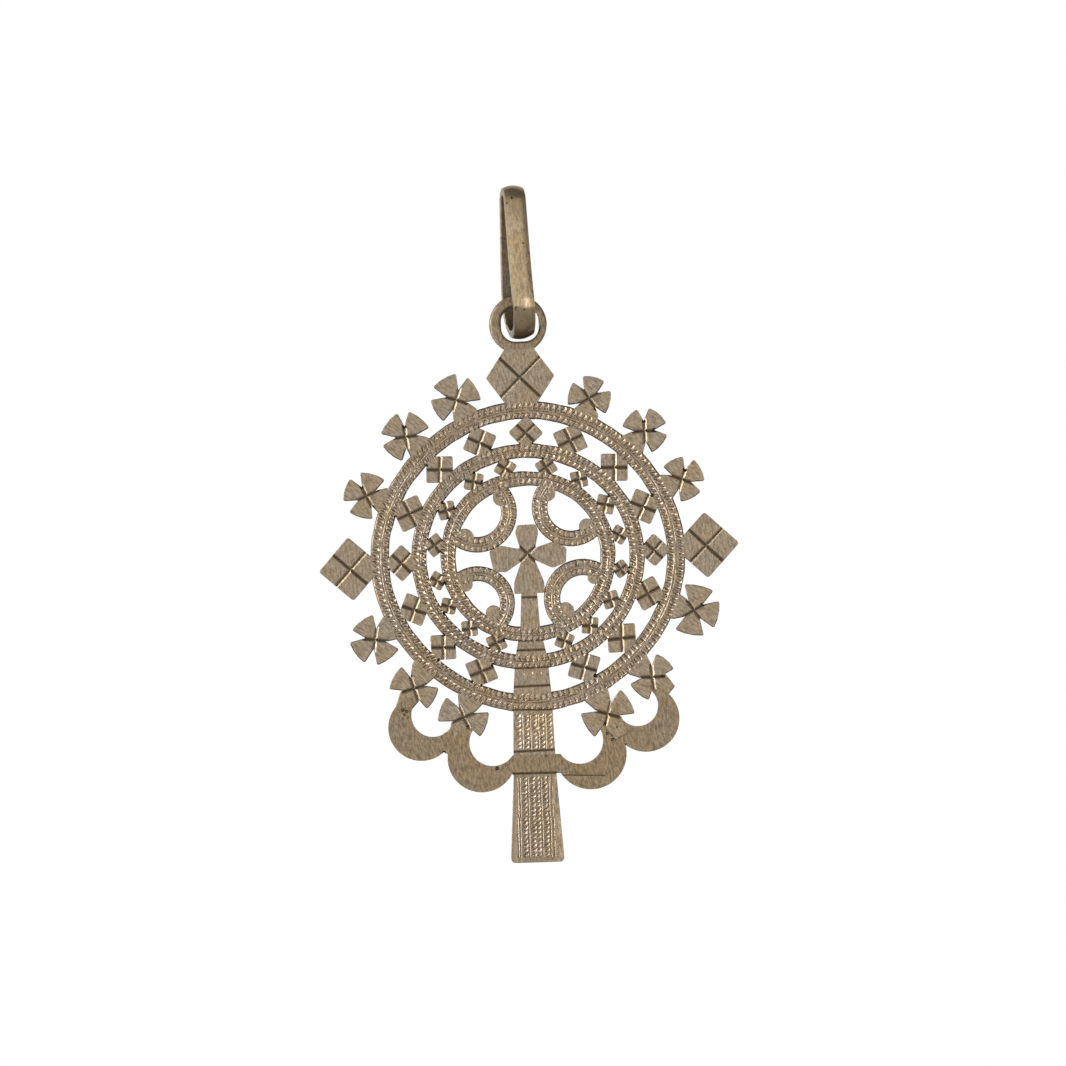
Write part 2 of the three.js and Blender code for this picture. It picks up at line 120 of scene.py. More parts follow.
def pick(piece, kind, test):
    """In edit mode, selects the vertices, edges or faces whose middle passes the test."""
    bpy.ops.mesh.select_mode(type=kind)
    bpy.ops.mesh.select_all(action="DESELECT")
    mesh = bmesh.from_edit_mesh(piece.data)
    for part in {"VERT": mesh.verts, "EDGE": mesh.edges, "FACE": mesh.faces}[kind]:
        corners = [part] if kind == "VERT" else part.verts
        middle = sum((corner.co for corner in corners), Vector()) / len(corners)
        part.select_set(bool(test(middle)))
    mesh.select_flush_mode()
    bmesh.update_edit_mesh(piece.data)


def polar(angle, distance):
    """A point on the bench, by its angle from the X axis and its distance from the middle."""
    turn = math.radians(angle)
    return Vector((distance * math.cos(turn), distance * math.sin(turn), 0))


def boolean(piece, other, operation, solver="MANIFOLD"):
    """Joins another solid to a piece, or cuts it away, and removes the other one."""
    alone(piece)
    bpy.ops.object.modifier_add(type="BOOLEAN")
    modifier = piece.modifiers[-1]
    modifier.operation = operation
    modifier.object = other
    modifier.solver = solver
    bpy.ops.object.modifier_apply(modifier=modifier.name)
    bpy.data.objects.remove(other)
    return piece


SHARP = 40  # degrees between two faces, from where their edge counts as sharp


def soften(piece, width, segments=2):
    """Rounds the sharp edges of a piece, as a file and years of wear do."""
    alone(piece)
    bpy.ops.object.modifier_add(type="BEVEL")
    modifier = piece.modifiers[-1]
    modifier.width = width
    modifier.segments = segments
    modifier.limit_method = "ANGLE"
    modifier.angle_limit = math.radians(SHARP)
    bpy.ops.object.modifier_apply(modifier=modifier.name)
    return piece


print("the bench is ready for a plate of", PLATE, "mm and", len(finishes), "finishes")

# %% [markdown]
# ## Drawing a flat motif
# Most motifs are flat shapes that flare or taper. By hand, such a shape starts as a small plane,
# and one of its edges is extruded outwards again and again, made wider or narrower at each step.
# When the outline is there, the whole face is extruded to the thickness of the plate. The same
# helper then draws arms, petals, stems, the shaft and the foot.

# %% Flat motif helpers
TINY = 1e-4
UP, DOWN = Vector((0, 1, 0)), Vector((0, -1, 0))
LEFT, RIGHT = Vector((-1, 0, 0)), Vector((1, 0, 0))
OUT_OF_FACE = Vector((0, 0, 1))
ROUNDED_FROM, ROUNDED_TO = 0.15, 0.97  # how far the normal of a rounded edge may point out
LOOKS_DOWN = -0.12  # the normal's part towards the top of the cross, from where an edge looks down


def start_plane(name, width, near, far, finish=FILED):
    """A flat plane on the bench, centred on the Y axis, from one height to another."""
    bpy.ops.mesh.primitive_plane_add(size=1, location=(0, (near + far) / 2, 0))
    piece = new_piece(name, finish)
    piece.scale = (width, abs(far - near), 1)
    return settle(piece)


def outermost(piece, direction):
    """In edit mode, selects the edge farthest out along an axis. Returns how far and how wide."""
    mesh = bmesh.from_edit_mesh(piece.data)
    across = direction.cross(OUT_OF_FACE)
    middles = [(edge.verts[0].co + edge.verts[1].co) / 2 for edge in mesh.edges]
    reach = max(middle.dot(direction) for middle in middles if abs(middle.dot(across)) < TINY)
    pick(piece, "EDGE", lambda middle: (
        middle.dot(direction) > reach - TINY and abs(middle.dot(across)) < TINY))
    mesh = bmesh.from_edit_mesh(piece.data)
    width = max(edge.calc_length() for edge in mesh.edges if edge.select)
    return reach, width


def grow(piece, direction, stations):
    """In edit mode, extrudes the outermost edge. A station is a distance and a half width."""
    for distance, half in stations:
        reach, width = outermost(piece, direction)
        bpy.ops.mesh.extrude_edges_move(
            TRANSFORM_OT_translate={"value": direction * (distance - reach)})
        share = half * 2 / width
        bpy.ops.transform.resize(value=(share, share, 1), center_override=direction * distance)


def blunt(offset):
    """In edit mode, rounds the selected corners of a flat outline."""
    bpy.ops.mesh.bevel(offset=offset, segments=2, affect="VERTICES")


def crown(piece, direction, rise, corner):
    """In edit mode, makes the outermost edge bulge and blunts its two corners."""
    reach, width = outermost(piece, direction)
    across = direction.cross(OUT_OF_FACE)
    inner = width * 0.4  # the two new points lie inside this, the corners outside
    bpy.ops.mesh.subdivide(number_cuts=2)
    pick(piece, "VERT", lambda place: (
        place.dot(direction) > reach - TINY and abs(place.dot(across)) < inner))
    bpy.ops.transform.translate(value=direction * rise)
    pick(piece, "VERT", lambda place: (
        abs(place.dot(direction) - reach) < TINY and abs(place.dot(across)) > inner))
    blunt(corner)


def thicken(piece):
    """Extrudes a flat face to the thickness of the plate, half of it on each side of the bench."""
    edit(piece)
    bpy.ops.transform.translate(value=(0, 0, -FRONT))
    bpy.ops.mesh.extrude_region_move(TRANSFORM_OT_translate={"value": (0, 0, PLATE)})
    bpy.ops.mesh.select_all(action="SELECT")
    bpy.ops.mesh.normals_make_consistent(inside=False)
    leave()
    return piece


def put(piece, angle, place, tilt=0.0):
    """Turns a motif that was drawn along +Y to an angle, and sets it at its place on the plate."""
    lean = [math.radians(hand.uniform(-tilt, tilt)) for _ in range(2)]
    piece.rotation_euler = (lean[0], lean[1], math.radians(angle - 90))
    piece.location = place
    return settle(piece)


def dirt_and_shade_below(piece):
    """Paints the rounded edges that look down near black, for their old dirt and as painted shade
    under them. It is for a piece in its place.
    """
    for face in piece.data.polygons:
        if ROUNDED_FROM < face.normal.z < ROUNDED_TO and face.normal.y < LOOKS_DOWN:
            face.material_index = DIRT_AND_SHADE
    return piece


print("a motif starts flat and gets", FRONT, "mm on each side of the bench")

# %% [markdown]
# ## The bands
# Three round bands carry the cross. Each is turned from a section, as on a lathe: a plane on edge,
# its corners rounded, is spun through a full circle. The real bands were sawn by hand, so they are
# a little low, and their edges wander. A formula moves each point of the spun ring by its angle,
# and the graver lines that follow a band later go through the same formula.

# %% Bands
BANDS = {
    "outer": {"radius": 20.45, "width": 2.35, "low": 0.012, "corners": 0.015},
    "middle": {"radius": 15.15, "width": 1.95, "low": 0.03, "corners": 0.0},
    "inner": {"radius": 11.35, "width": 1.95, "low": 0.025, "corners": -0.015},
}
BAND_EDGE = 0.28  # rounding of a band's edges
WANDER = 0.09  # how far a sawn edge strays
SWELL = 0.025  # how far the filed face rises and falls
WANDER_SCALE, SWELL_SCALE = 0.55, 0.35  # a smaller number makes longer waves
BAND_STEPS = 180
FULL_TURN = 360


def band_share(band, angle):
    """The share of its radius that a hand-cut band keeps in a direction."""
    turn = math.radians(angle)
    return 1 - band["low"] * math.sin(turn) ** 2 - band["corners"] * math.sin(2 * turn) ** 2


def outer_edge(band, angle):
    """Distance from the middle to a band's outer edge in a direction."""
    return band["radius"] * band_share(band, angle)


def inner_edge(band, angle):
    """Distance from the middle to a band's inner edge in a direction."""
    return (band["radius"] - band["width"]) * band_share(band, angle)


def bar_section(name, width, at):
    """The section of a bar, a plane with rounded corners, on edge across the X axis."""
    bpy.ops.mesh.primitive_plane_add(size=1, location=(at, 0, 0), rotation=(math.radians(90), 0, 0))
    piece = new_piece(name)
    piece.scale = (width, PLATE, 1)
    settle(piece)
    edit(piece)
    bpy.ops.mesh.bevel(offset=BAND_EDGE, segments=3, affect="VERTICES")
    leave()
    return piece


def spin(piece, steps, degrees):
    """In edit mode, turns what is selected about the middle, a full circle as a closed ring."""
    full = degrees >= FULL_TURN
    if full:
        bpy.ops.mesh.delete(type="ONLY_FACE")
        bpy.ops.mesh.select_all(action="SELECT")
    bpy.ops.mesh.spin(
        steps=steps, angle=math.radians(degrees), center=(0, 0, 0), axis=(0, 0, -1))
    bpy.ops.mesh.select_all(action="SELECT")
    if full:
        bpy.ops.mesh.remove_doubles(threshold=0.001)
    bpy.ops.mesh.normals_make_consistent(inside=False)


def follow(piece, band, wander=0.0, swell=0.0, seed=0.0):
    """Moves a true round piece to the band's own shape, with the straying of a hand."""
    for vertex in piece.data.vertices:
        x, y, z = vertex.co
        angle = math.degrees(math.atan2(y, x))
        radius = math.hypot(x, y)
        side = 1 if radius > band["radius"] - band["width"] / 2 else -1
        waves = Vector((x * WANDER_SCALE, y * WANDER_SCALE, seed + side * 3))
        radius = radius * band_share(band, angle) + wander * noise.noise(waves)
        rise = swell * noise.noise(Vector((x * SWELL_SCALE, y * SWELL_SCALE, seed + 9)))
        vertex.co = polar(angle, radius) + Vector((0, 0, z + (rise if z > 0 else 0)))


def make_band(name, band, seed):
    """One whole band. The seed gives each band waves of its own."""
    piece = bar_section(name, band["width"], band["radius"] - band["width"] / 2)
    edit(piece)
    spin(piece, BAND_STEPS, FULL_TURN)
    leave()
    follow(piece, band, WANDER, SWELL, seed)
    return piece


cross = make_band("cross_plate_chased", BANDS["outer"], 1.0)
for number, name in enumerate(["middle", "inner"]):
    boolean(cross, make_band(name, BANDS[name], 2.0 + number), "UNION")
print("bands:", len(cross.data.polygons), "faces")

# %% [markdown]
# ## Lozenges between the bands
# Two rows of lozenges bridge the gaps between the bands. A lozenge is a circle with four corners.
# Each one leans by a fraction of a degree, as a face filed by hand does, so that no two of them
# catch the light alike.

# %% Lozenges
MOTIF_EDGE = 0.11  # rounding of the edges of the small motifs
LEAN = 0.9  # degrees that a filed face may lean
CORNER = 0.24  # blunting of their corners
MOTIF_TURN = 2  # degrees that a lozenge may be turned off its angle
MEDIUM_INSET, SMALL_INSET = 0.2, 0.1  # from halfway between two bands, towards the middle
MEDIUM = [  # angle in degrees, and how far the corners bite into the bands
    (0.5, 0.7), (21, 1.05), (43.5, 1.0), (67.5, 1.0), (88.5, 0.8), (110.5, 0.9), (133, 0.95),
    (157.5, 1.15), (180.5, 0.95), (202.5, 0.9), (224.5, 0.8), (245.5, 0.9), (294.5, 1.0),
    (316.5, 1.1), (340.5, 0.95),
]
SMALL = [
    (11, 0.525), (31.5, 0.725), (54, 0.575), (76, 0.675), (102, 0.675), (123.5, 0.725),
    (148, 0.675), (170.5, 0.725), (192.5, 0.475), (209.5, 0.475), (228.5, 0.525),
    (247.5, 0.675), (291, 0.575), (309.5, 0.575), (330, 0.575), (350, 0.425),
]
ROWS = [("outer", "middle", MEDIUM_INSET, MEDIUM), ("middle", "inner", SMALL_INSET, SMALL)]
SIDES = [(1.2, 4.3, 2.75), (181.6, 4.15, 2.65)]  # angle, half diagonal, stand off the band


def row_between(outside, inside, inset, row):
    """Angle, half diagonal and place of each lozenge between two bands."""
    outside, inside = BANDS[outside], BANDS[inside]
    half_gap = (outside["radius"] - outside["width"] - inside["radius"]) / 2
    return [
        (angle, half_gap + bite,
         polar(angle, (inner_edge(outside, angle) + outer_edge(inside, angle)) / 2 - inset))
        for angle, bite in row]


def beyond(angle, stand):
    """A place off the outer band."""
    return polar(angle, outer_edge(BANDS["outer"], angle) + stand)


def make_lozenge(angle, half, place, finish):
    """A lozenge in its place. Half is half of its diagonal."""
    bpy.ops.mesh.primitive_circle_add(vertices=4, radius=half, fill_type="NGON")
    piece = new_piece("lozenge", finish)
    edit(piece)
    blunt(CORNER * hand.uniform(0.6, 1.3))
    leave()
    thicken(piece)
    soften(piece, MOTIF_EDGE)
    return put(piece, angle + hand.uniform(-MOTIF_TURN, MOTIF_TURN), place, LEAN)


lozenges = [lozenge for row in ROWS for lozenge in row_between(*row)]
lozenges += [(angle, half, beyond(angle, stand)) for angle, half, stand in SIDES]
for angle, half, place in lozenges:
    boolean(cross, make_lozenge(angle, half, place, hand.choice([FILED, FILED, SLANTED])), "UNION")
print("lozenges:", len(lozenges))

# %% [markdown]
# ## Small crosses round the rim
# Twelve small crosses stand on the outer band. Each starts as a square, and an arm grows from
# three of its edges, flared and with a crowned end, no two quite alike. The stem grows from the
# fourth and sinks into the band. The four crosses over the bracket have a plain neck instead of
# their outermost arm.

# %% Rim crosses
RIM_CROSSES = [  # angle, turn off square, stand off the band, reach, and whether it ends in a lobe
    (24.3, 0, 2.15, 2.95, False), (44.7, 2, 2.25, 3.0, False), (66.4, 8, 2.0, 2.95, False),
    (112.2, 6, 2.35, 3.3, False), (133.1, 6, 2.25, 3.25, False), (156.9, 4, 2.15, 3.15, False),
    (206, 8, 2.4, 3.35, False), (226.7, 12, 2.6, 3.2, True), (245.8, 2, 2.4, 3.45, True),
    (294.4, 4, 2.8, 3.55, True), (313.5, 4, 2.45, 3.05, True), (339.7, 6, 2.4, 3.6, False),
]
ARM_HALF_ANGLE = 31
ARM_CROWN = 0.22
ARM_NOTCH = 1.25 * math.sqrt(0.5)  # from a cross's axes to the notches between its arms
STEM_NOTCH = 1.65 * math.sqrt(0.5)
STEM_HALF = 1.7
STEM_SINK = 1.1  # how far a stem reaches into the band
NECK_HALF, NECK_END_HALF = 1.35, 0.95
NECK_WAIST = 0.3  # from the notches out to where the neck is widest


def make_rim_cross(angle, turn, stand, reach, ends_in_lobe):
    """One small cross in its place, drawn with its outermost arm up and its stem down."""
    piece = start_plane("rim_cross", ARM_NOTCH * 2, -ARM_NOTCH, ARM_NOTCH, SLANTED)
    spread = math.radians(ARM_HALF_ANGLE)
    edit(piece)
    for direction in [LEFT, RIGHT] if ends_in_lobe else [LEFT, RIGHT, UP]:
        long, wide = reach * hand.uniform(0.96, 1.03), reach * hand.uniform(0.94, 1.04)
        grow(piece, direction, [(long * math.cos(spread), wide * math.sin(spread))])
        crown(piece, direction, ARM_CROWN, CORNER)
    if ends_in_lobe:
        grow(piece, UP, [(ARM_NOTCH + NECK_WAIST, NECK_HALF), (reach, NECK_END_HALF)])
    grow(piece, DOWN, [
        (STEM_NOTCH, STEM_NOTCH), (stand, STEM_HALF), (stand + STEM_SINK, STEM_HALF)])
    leave()
    thicken(piece)
    soften(piece, MOTIF_EDGE)
    return dirt_and_shade_below(put(piece, angle + turn, beyond(angle, stand), LEAN))


for row in RIM_CROSSES:
    boolean(cross, make_rim_cross(*row), "UNION")
print("rim crosses:", len(RIM_CROSSES))

# %% [markdown]
# ## The top: lozenge and eye
# A broad lozenge with cut-off corners carries the eye that the ring hangs in. The eye is a short
# cylinder, left rougher than the rest. Its hole is a cube with strongly rounded corners, cut out
# before the edges are softened, so that the rim of the hole is rounded too, where the ring wore it.

# %% Top lozenge and eye
TOP = {"half_width": 4.4, "half_height": 3.6, "corner": 1.95, "stand": 2.9, "lean": 0.3}
EYE_RADIUS = 3.75
EYE_SIDES = 64
EYE_ABOVE = 3.25  # from the top of the lozenge to the middle of the eye
HOLE = {"half_width": 2.45, "half_height": 2.25, "offset": 0.25, "corner": 1.85}
EYE_EDGE = 0.4
SEAT_RADIUS = EYE_RADIUS - 0.5

top_height = BANDS["outer"]["radius"] + TOP["stand"]
eye_height = top_height + TOP["half_height"] + EYE_ABOVE

top = start_plane("top_lozenge", TOP["half_width"] * 2, -0.05, 0.05)
edit(top)
for direction, end in ((UP, TOP["half_height"] + EYE_ABOVE), (DOWN, TOP["stand"] + STEM_SINK)):
    grow(top, direction, [(TOP["half_height"], TOP["corner"]), (end, TOP["corner"])])
leave()
thicken(top)
soften(top, MOTIF_EDGE)
put(top, 90, (0, top_height, 0), TOP["lean"])
boolean(cross, top, "UNION")

bpy.ops.mesh.primitive_cylinder_add(vertices=EYE_SIDES, radius=EYE_RADIUS, depth=PLATE)
eye = new_piece("eye", CAST)
bpy.ops.mesh.primitive_cube_add(size=1, location=(HOLE["offset"], 0, 0))
hole = new_piece("eye_hole", CAST)
hole.scale = (HOLE["half_width"] * 2, HOLE["half_height"] * 2, PLATE * 2)
settle(hole)
edit(hole)
pick(hole, "EDGE", lambda middle: abs(middle.z) < TINY)
bpy.ops.mesh.bevel(offset=HOLE["corner"], segments=8, affect="EDGES")
leave()
boolean(eye, hole, "DIFFERENCE", "EXACT")
soften(eye, EYE_EDGE, 3)
put(eye, 90, (0, eye_height, 0))
print("the eye has", len(eye.data.polygons), "faces")

# %% [markdown]
# The neck of the lozenge would fill the hole of the eye. So a seat, a disc a little smaller than
# the eye, is cut out of the neck first, and then the finished eye is joined to it.

# %% Set the eye on its neck
bpy.ops.mesh.primitive_cylinder_add(
    vertices=EYE_SIDES, radius=SEAT_RADIUS, depth=PLATE * 2, location=(0, eye_height, 0))
boolean(cross, settle(new_piece("eye_seat")), "DIFFERENCE")
boolean(cross, eye, "UNION")
print("eye at", round(eye_height, 2), "mm over the middle of the bands")

# %% [markdown]
# ## Scrolls
# Four scrolls curl inside the inner band. They are made as the bands are, by spinning a section,
# but only through the part of a circle that shows. Each ends in two plain knobs.

# %% Scrolls
SCROLLS = [  # a knob is its angle, its distance from the middle and its radius
    {"angle": 46.5, "distance": 8.5, "radius": 5.1, "width": 2.05,
     "knobs": [(70.5, 8.6, 1.05), (24.5, 8.6, 1.05)]},
    {"angle": 136.9, "distance": 8.75, "radius": 5.2, "width": 2.05,
     "knobs": [(112, 8.4, 1.1), (161.5, 8.6, 1.25)]},
    {"angle": 220.5, "distance": 8.95, "radius": 4.85, "width": 1.95,
     "knobs": [(236, 8.6, 1.0), (201.5, 8.9, 0.95)]},
    {"angle": 320.5, "distance": 8.95, "radius": 5.1, "width": 2.15,
     "knobs": [(302, 8.6, 1.15), (340, 9.0, 0.85)]},
]
KNOB_SIDES = 20
SCROLL_STEPS = 28


def scroll_sweep(scroll):
    """How far a scroll curls on each side before it meets the middle of the inner band."""
    middle = BANDS["inner"]["radius"] - BANDS["inner"]["width"] / 2
    away, radius = scroll["distance"], scroll["radius"] - scroll["width"] / 2
    share = (away ** 2 + radius ** 2 - middle ** 2) / (2 * away * radius)
    return math.degrees(math.acos(share))


def turned_arc(piece, sweep, steps):
    """Spins a section that stands on the X axis through an arc that is centred on +X."""
    edit(piece)
    spin(piece, steps, sweep * 2)
    leave()
    piece.rotation_euler = (0, 0, math.radians(-sweep))
    return settle(piece)


def on_scroll(piece, scroll):
    """Moves an arc that bulges towards +X to where a scroll bulges towards the middle."""
    piece.rotation_euler = (0, 0, math.radians(scroll["angle"] + 180))
    piece.location = polar(scroll["angle"], scroll["distance"])
    return settle(piece)


for scroll in SCROLLS:
    arc = bar_section("scroll", scroll["width"], scroll["radius"] - scroll["width"] / 2)
    on_scroll(turned_arc(arc, scroll_sweep(scroll), SCROLL_STEPS), scroll)
    boolean(cross, arc, "UNION")
    for angle, distance, radius in scroll["knobs"]:
        bpy.ops.mesh.primitive_cylinder_add(vertices=KNOB_SIDES, radius=radius, depth=PLATE)
        knob = soften(new_piece("knob"), MOTIF_EDGE)
        put(knob, 90, polar(angle, distance), LEAN)
        boolean(cross, knob, "UNION")
print("scrolls:", len(SCROLLS), "with", sum(len(scroll["knobs"]) for scroll in SCROLLS), "knobs")

# %% [markdown]
# ## The middle cross and the shaft
# The petals of the middle cross widen from a waist to a shoulder and end blunt. The shaft runs
# from under them through all three bands, and its edge is extruded from one band to the next.

# %% Middle cross and shaft
PETAL_HEIGHT = 0.4  # of the middle of the petals over the middle of the bands
PETALS = [  # turn, then distance and half width of the waist, the shoulder and the tip
    (90.5, (0.95, 1.05), (2.75, 1.5), (3.75, 1.2)),
    (190, (1.2, 0.9), (3.35, 1.8), (4.85, 1.35)),
    (355, (1.05, 0.85), (3.3, 1.75), (5.0, 0.95)),
    (270, (1.0, 0.9), (3.75, 1.95), (5.2, 2.0)),
]
SHAFT_ANGLE = 270 - 0.65  # down and a little to the left
SHAFT_TOP_HALF = 0.75
FOOT_TOP, FOOT_TOP_HALF = 8.2, 2.8  # where the foot begins, below the outer band's radius

for turn, waist, shoulder, tip in PETALS:
    petal = start_plane("petal", waist[1] * 2, 0, waist[0])
    edit(petal)
    grow(petal, UP, [shoulder, tip])
    pick(petal, "VERT", lambda place: place.y > waist[0] + TINY)
    blunt(CORNER)
    leave()
    thicken(petal)
    soften(petal, MOTIF_EDGE)
    put(petal, turn, (0, PETAL_HEIGHT, 0), LEAN)
    boolean(cross, petal, "UNION")

shaft_stations = [
    (BANDS["inner"]["radius"] - BANDS["inner"]["width"], 1.3),
    (BANDS["middle"]["radius"] - BANDS["middle"]["width"], 2.1),
    (BANDS["outer"]["radius"] - BANDS["outer"]["width"], 2.5),
    (BANDS["outer"]["radius"] + FOOT_TOP, FOOT_TOP_HALF),
]
shaft = start_plane("shaft", SHAFT_TOP_HALF * 2, -0.01, 0)
edit(shaft)
grow(shaft, UP, shaft_stations)
leave()
thicken(shaft)
soften(shaft, MOTIF_EDGE)
put(shaft, SHAFT_ANGLE, (0, 0, 0))
boolean(cross, shaft, "UNION")
print("petals:", len(PETALS), "and shaft stations:", len(shaft_stations))

# %% [markdown]
# ## The foot
# The foot is wider than the shaft and its two lower corners are rounded. A plane cuts a broad
# bevel along each side of its front, which bisect does in one step: it cuts, fills the cut and
# drops what lies outside. The left bevel gets the finish of the cut grooves, so the two bevels differ
# in tone.

# %% The foot
FOOT_END, FOOT_HALF = 19.29, 3.5
FOOT_OVERLAP = 0.3  # how far the foot starts inside the shaft
FOOT_CORNER = 0.6
FOOT_BEVEL = {"width": 0.85, "depth": 0.2}
SLOPED_FROM, SLOPED_TO = 0.2, 0.99  # how far the normal of a bevel may point out

foot_top = BANDS["outer"]["radius"] + FOOT_TOP
foot_end = BANDS["outer"]["radius"] + FOOT_END
foot = start_plane("foot", FOOT_TOP_HALF * 2, foot_top - FOOT_OVERLAP, foot_top)
edit(foot)
grow(foot, UP, [(foot_end, FOOT_HALF)])
pick(foot, "VERT", lambda place: place.y > foot_end - TINY)
bpy.ops.mesh.bevel(offset=FOOT_CORNER, segments=3, affect="VERTICES")
leave()
thicken(foot)
spread = math.atan2(FOOT_HALF - FOOT_TOP_HALF, foot_end - foot_top)
slope = math.atan2(FOOT_BEVEL["width"], FOOT_BEVEL["depth"])
for side in (-1, 1):
    edit(foot)
    outward = Matrix.Rotation(-side * spread, 3, "Z") @ Vector((side, 0, 0))
    bpy.ops.mesh.bisect(
        plane_co=(side * FOOT_TOP_HALF, foot_top, FRONT - FOOT_BEVEL["depth"]),
        plane_no=outward * math.cos(slope) + Vector((0, 0, math.sin(slope))),
        use_fill=True, clear_outer=True)
    leave()
for face in foot.data.polygons:
    if SLOPED_FROM < face.normal.z < SLOPED_TO and face.normal.x > 0:
        face.material_index = CUT  # the left bevel, because the foot is still upside down
soften(foot, MOTIF_EDGE)
put(foot, SHAFT_ANGLE, (0, 0, 0))
boolean(cross, foot, "UNION")
print("shaft and foot reach", round(foot_end, 2), "mm below the middle of the bands")

# %% [markdown]
# ## The bracket
# Under the band, two lobes on each side spring from the shaft, with a round gap in each. A lobe is
# a disc with a smaller disc cut away, which leaves a crescent. The gap is cut before the edges are
# softened, so its edge gets the same rounding as the outer one. Beside the shaft a crescent would
# end in a thin horn, which a plane cuts off first. The two left lobes ran together in the mould,
# so a small disc fills the corner between them. A short bar joins the crescents.

# %% Bracket
LOBES = [  # the lobe's angle, stand off the band and radius, then the same for its gap
    ((235.6, 5.75, 4.3), (236.6, 3.65, 2.8)),
    ((254.6, 6.4, 4.45), (256.8, 4.2, 3.05)),
    ((285.2, 6.4, 4.65), (283.2, 4.4, 3.05)),
    ((303.6, 5.55, 4.35), (303.8, 3.65, 2.65)),
]
LOBE_BAR = {"top": 5.6, "bottom": 8.05, "half_top": 3.13, "half_bottom": 3.2, "aside": 0.27}
LOBE_EDGE = 0.15
LOBE_SIDES = 72
NEAR_SHAFT = 20  # degrees from the shaft, within which a lobe touches it
HORN_CUT = 60  # degrees between the shaft and the plane that cuts off a horn
LOBE_PROUD = 0.015  # the lobes stand this far over the shaft, which hides the shaft's edges
BAR_PROUD = 0.03
WEB = {"place": (-11.1, -23.75, 0), "radius": 1.5}  # fills the corner between the left lobes


def make_disc(name, angle, stand, radius, depth=PLATE):
    """A disc that stands off the outer band at an angle."""
    place = polar(angle, BANDS["outer"]["radius"] + stand)
    bpy.ops.mesh.primitive_cylinder_add(
        vertices=LOBE_SIDES, radius=radius, depth=depth, location=place)
    return settle(new_piece(name, CAST))


below_band = outer_edge(BANDS["outer"], SHAFT_ANGLE)
for lobe, gap in LOBES:
    crescent = make_disc("lobe", *lobe)
    boolean(crescent, make_disc("gap", *gap, depth=PLATE * 2), "DIFFERENCE", "EXACT")
    off_shaft = lobe[0] - SHAFT_ANGLE
    if abs(off_shaft) < NEAR_SHAFT:
        side = 1 if off_shaft > 0 else -1
        corner = polar(SHAFT_ANGLE, below_band + LOBE_BAR["top"])
        corner += polar(SHAFT_ANGLE + 90, side * LOBE_BAR["half_top"] + LOBE_BAR["aside"])
        edit(crescent)
        bpy.ops.mesh.bisect(
            plane_co=corner, plane_no=polar(SHAFT_ANGLE + 180 + side * HORN_CUT, 1),
            use_fill=True, clear_outer=True)
        leave()
    dirt_and_shade_below(soften(crescent, LOBE_EDGE))
    crescent.scale = (1, 1, 1 + LOBE_PROUD / FRONT)
    boolean(cross, settle(crescent), "UNION")

bpy.ops.mesh.primitive_cylinder_add(
    vertices=24, radius=WEB["radius"], depth=PLATE, location=WEB["place"])
boolean(cross, soften(settle(new_piece("web", CAST)), MOTIF_EDGE), "UNION")

bar_top = below_band + LOBE_BAR["top"]
bar = start_plane("lobe_bar", LOBE_BAR["half_top"] * 2, bar_top, bar_top + 0.1, CAST)
edit(bar)
grow(bar, UP, [(below_band + LOBE_BAR["bottom"], LOBE_BAR["half_bottom"])])
leave()
thicken(bar)
bar.scale = (1, 1, 1 + BAR_PROUD / FRONT)
put(bar, SHAFT_ANGLE, polar(SHAFT_ANGLE + 90, LOBE_BAR["aside"]))
boolean(cross, bar, "UNION")
print("bracket:", len(LOBES), "lobes")

# %% [markdown]
# ## Crossed grooves
# Each lozenge and each small cross carries two crossed grooves. On the real cross they were cut
# with a graver, which leaves a V. A square bar that lies corner down in the face cuts that V. All
# the bars of one direction are joined and cut away together, then all those of the other, because
# a cutter should not overlap itself.

# %% Crossed grooves
GROOVE_WIDTH, GROOVE_DEPTH = 0.64, 0.25
GROOVE_STRAY = 3  # degrees that a groove may be turned off its angle
TOP_GROOVE, PETAL_GROOVE = 7.3, 2.9  # lengths on the top lozenge and on the middle cross
PROUD = 0.01  # a cutter starts this far over the face


def gather(pieces, name):
    """Joins pieces into one object."""
    alone(pieces[0])
    for piece in pieces:
        piece.select_set(True)
    bpy.ops.object.join()
    pieces[0].name = name
    return pieces[0]


def copy_of(piece):
    """A copy with a mesh of its own, as Shift D makes it."""
    twin = piece.copy()
    twin.data = piece.data.copy()
    bpy.context.scene.collection.objects.link(twin)
    return twin


def make_groove(length, angle, place, width=GROOVE_WIDTH, depth=GROOVE_DEPTH, finish=CUT):
    """A square bar that lies along an angle, half sunk in the front face with a corner down."""
    bpy.ops.mesh.primitive_cylinder_add(
        vertices=4, radius=1, depth=1, rotation=(0, math.radians(90), 0))
    bar = settle(new_piece("groove", finish))
    bar.scale = (length, width / 2, depth)
    settle(bar)
    bar.rotation_euler = (0, 0, math.radians(angle))
    bar.location = place + Vector((0, 0, FRONT + PROUD))
    return settle(bar)


crossed = [(angle, half * math.sqrt(2), place) for angle, half, place in lozenges]
crossed += [
    (angle + turn, STEM_NOTCH * 2 * math.sqrt(2), beyond(angle, stand))
    for angle, turn, stand, *_ in RIM_CROSSES]
crossed.append((90, TOP_GROOVE, Vector((0, top_height, 0))))
crossed.append((SHAFT_ANGLE, PETAL_GROOVE, Vector((0, PETAL_HEIGHT, 0))))
for lean in (45, -45):
    bars = [
        make_groove(length, angle + lean + hand.uniform(-GROOVE_STRAY, GROOVE_STRAY), place)
        for angle, length, place in crossed]
    boolean(cross, gather(bars, "groove_bars"), "DIFFERENCE")
print("crossed grooves:", len(crossed))
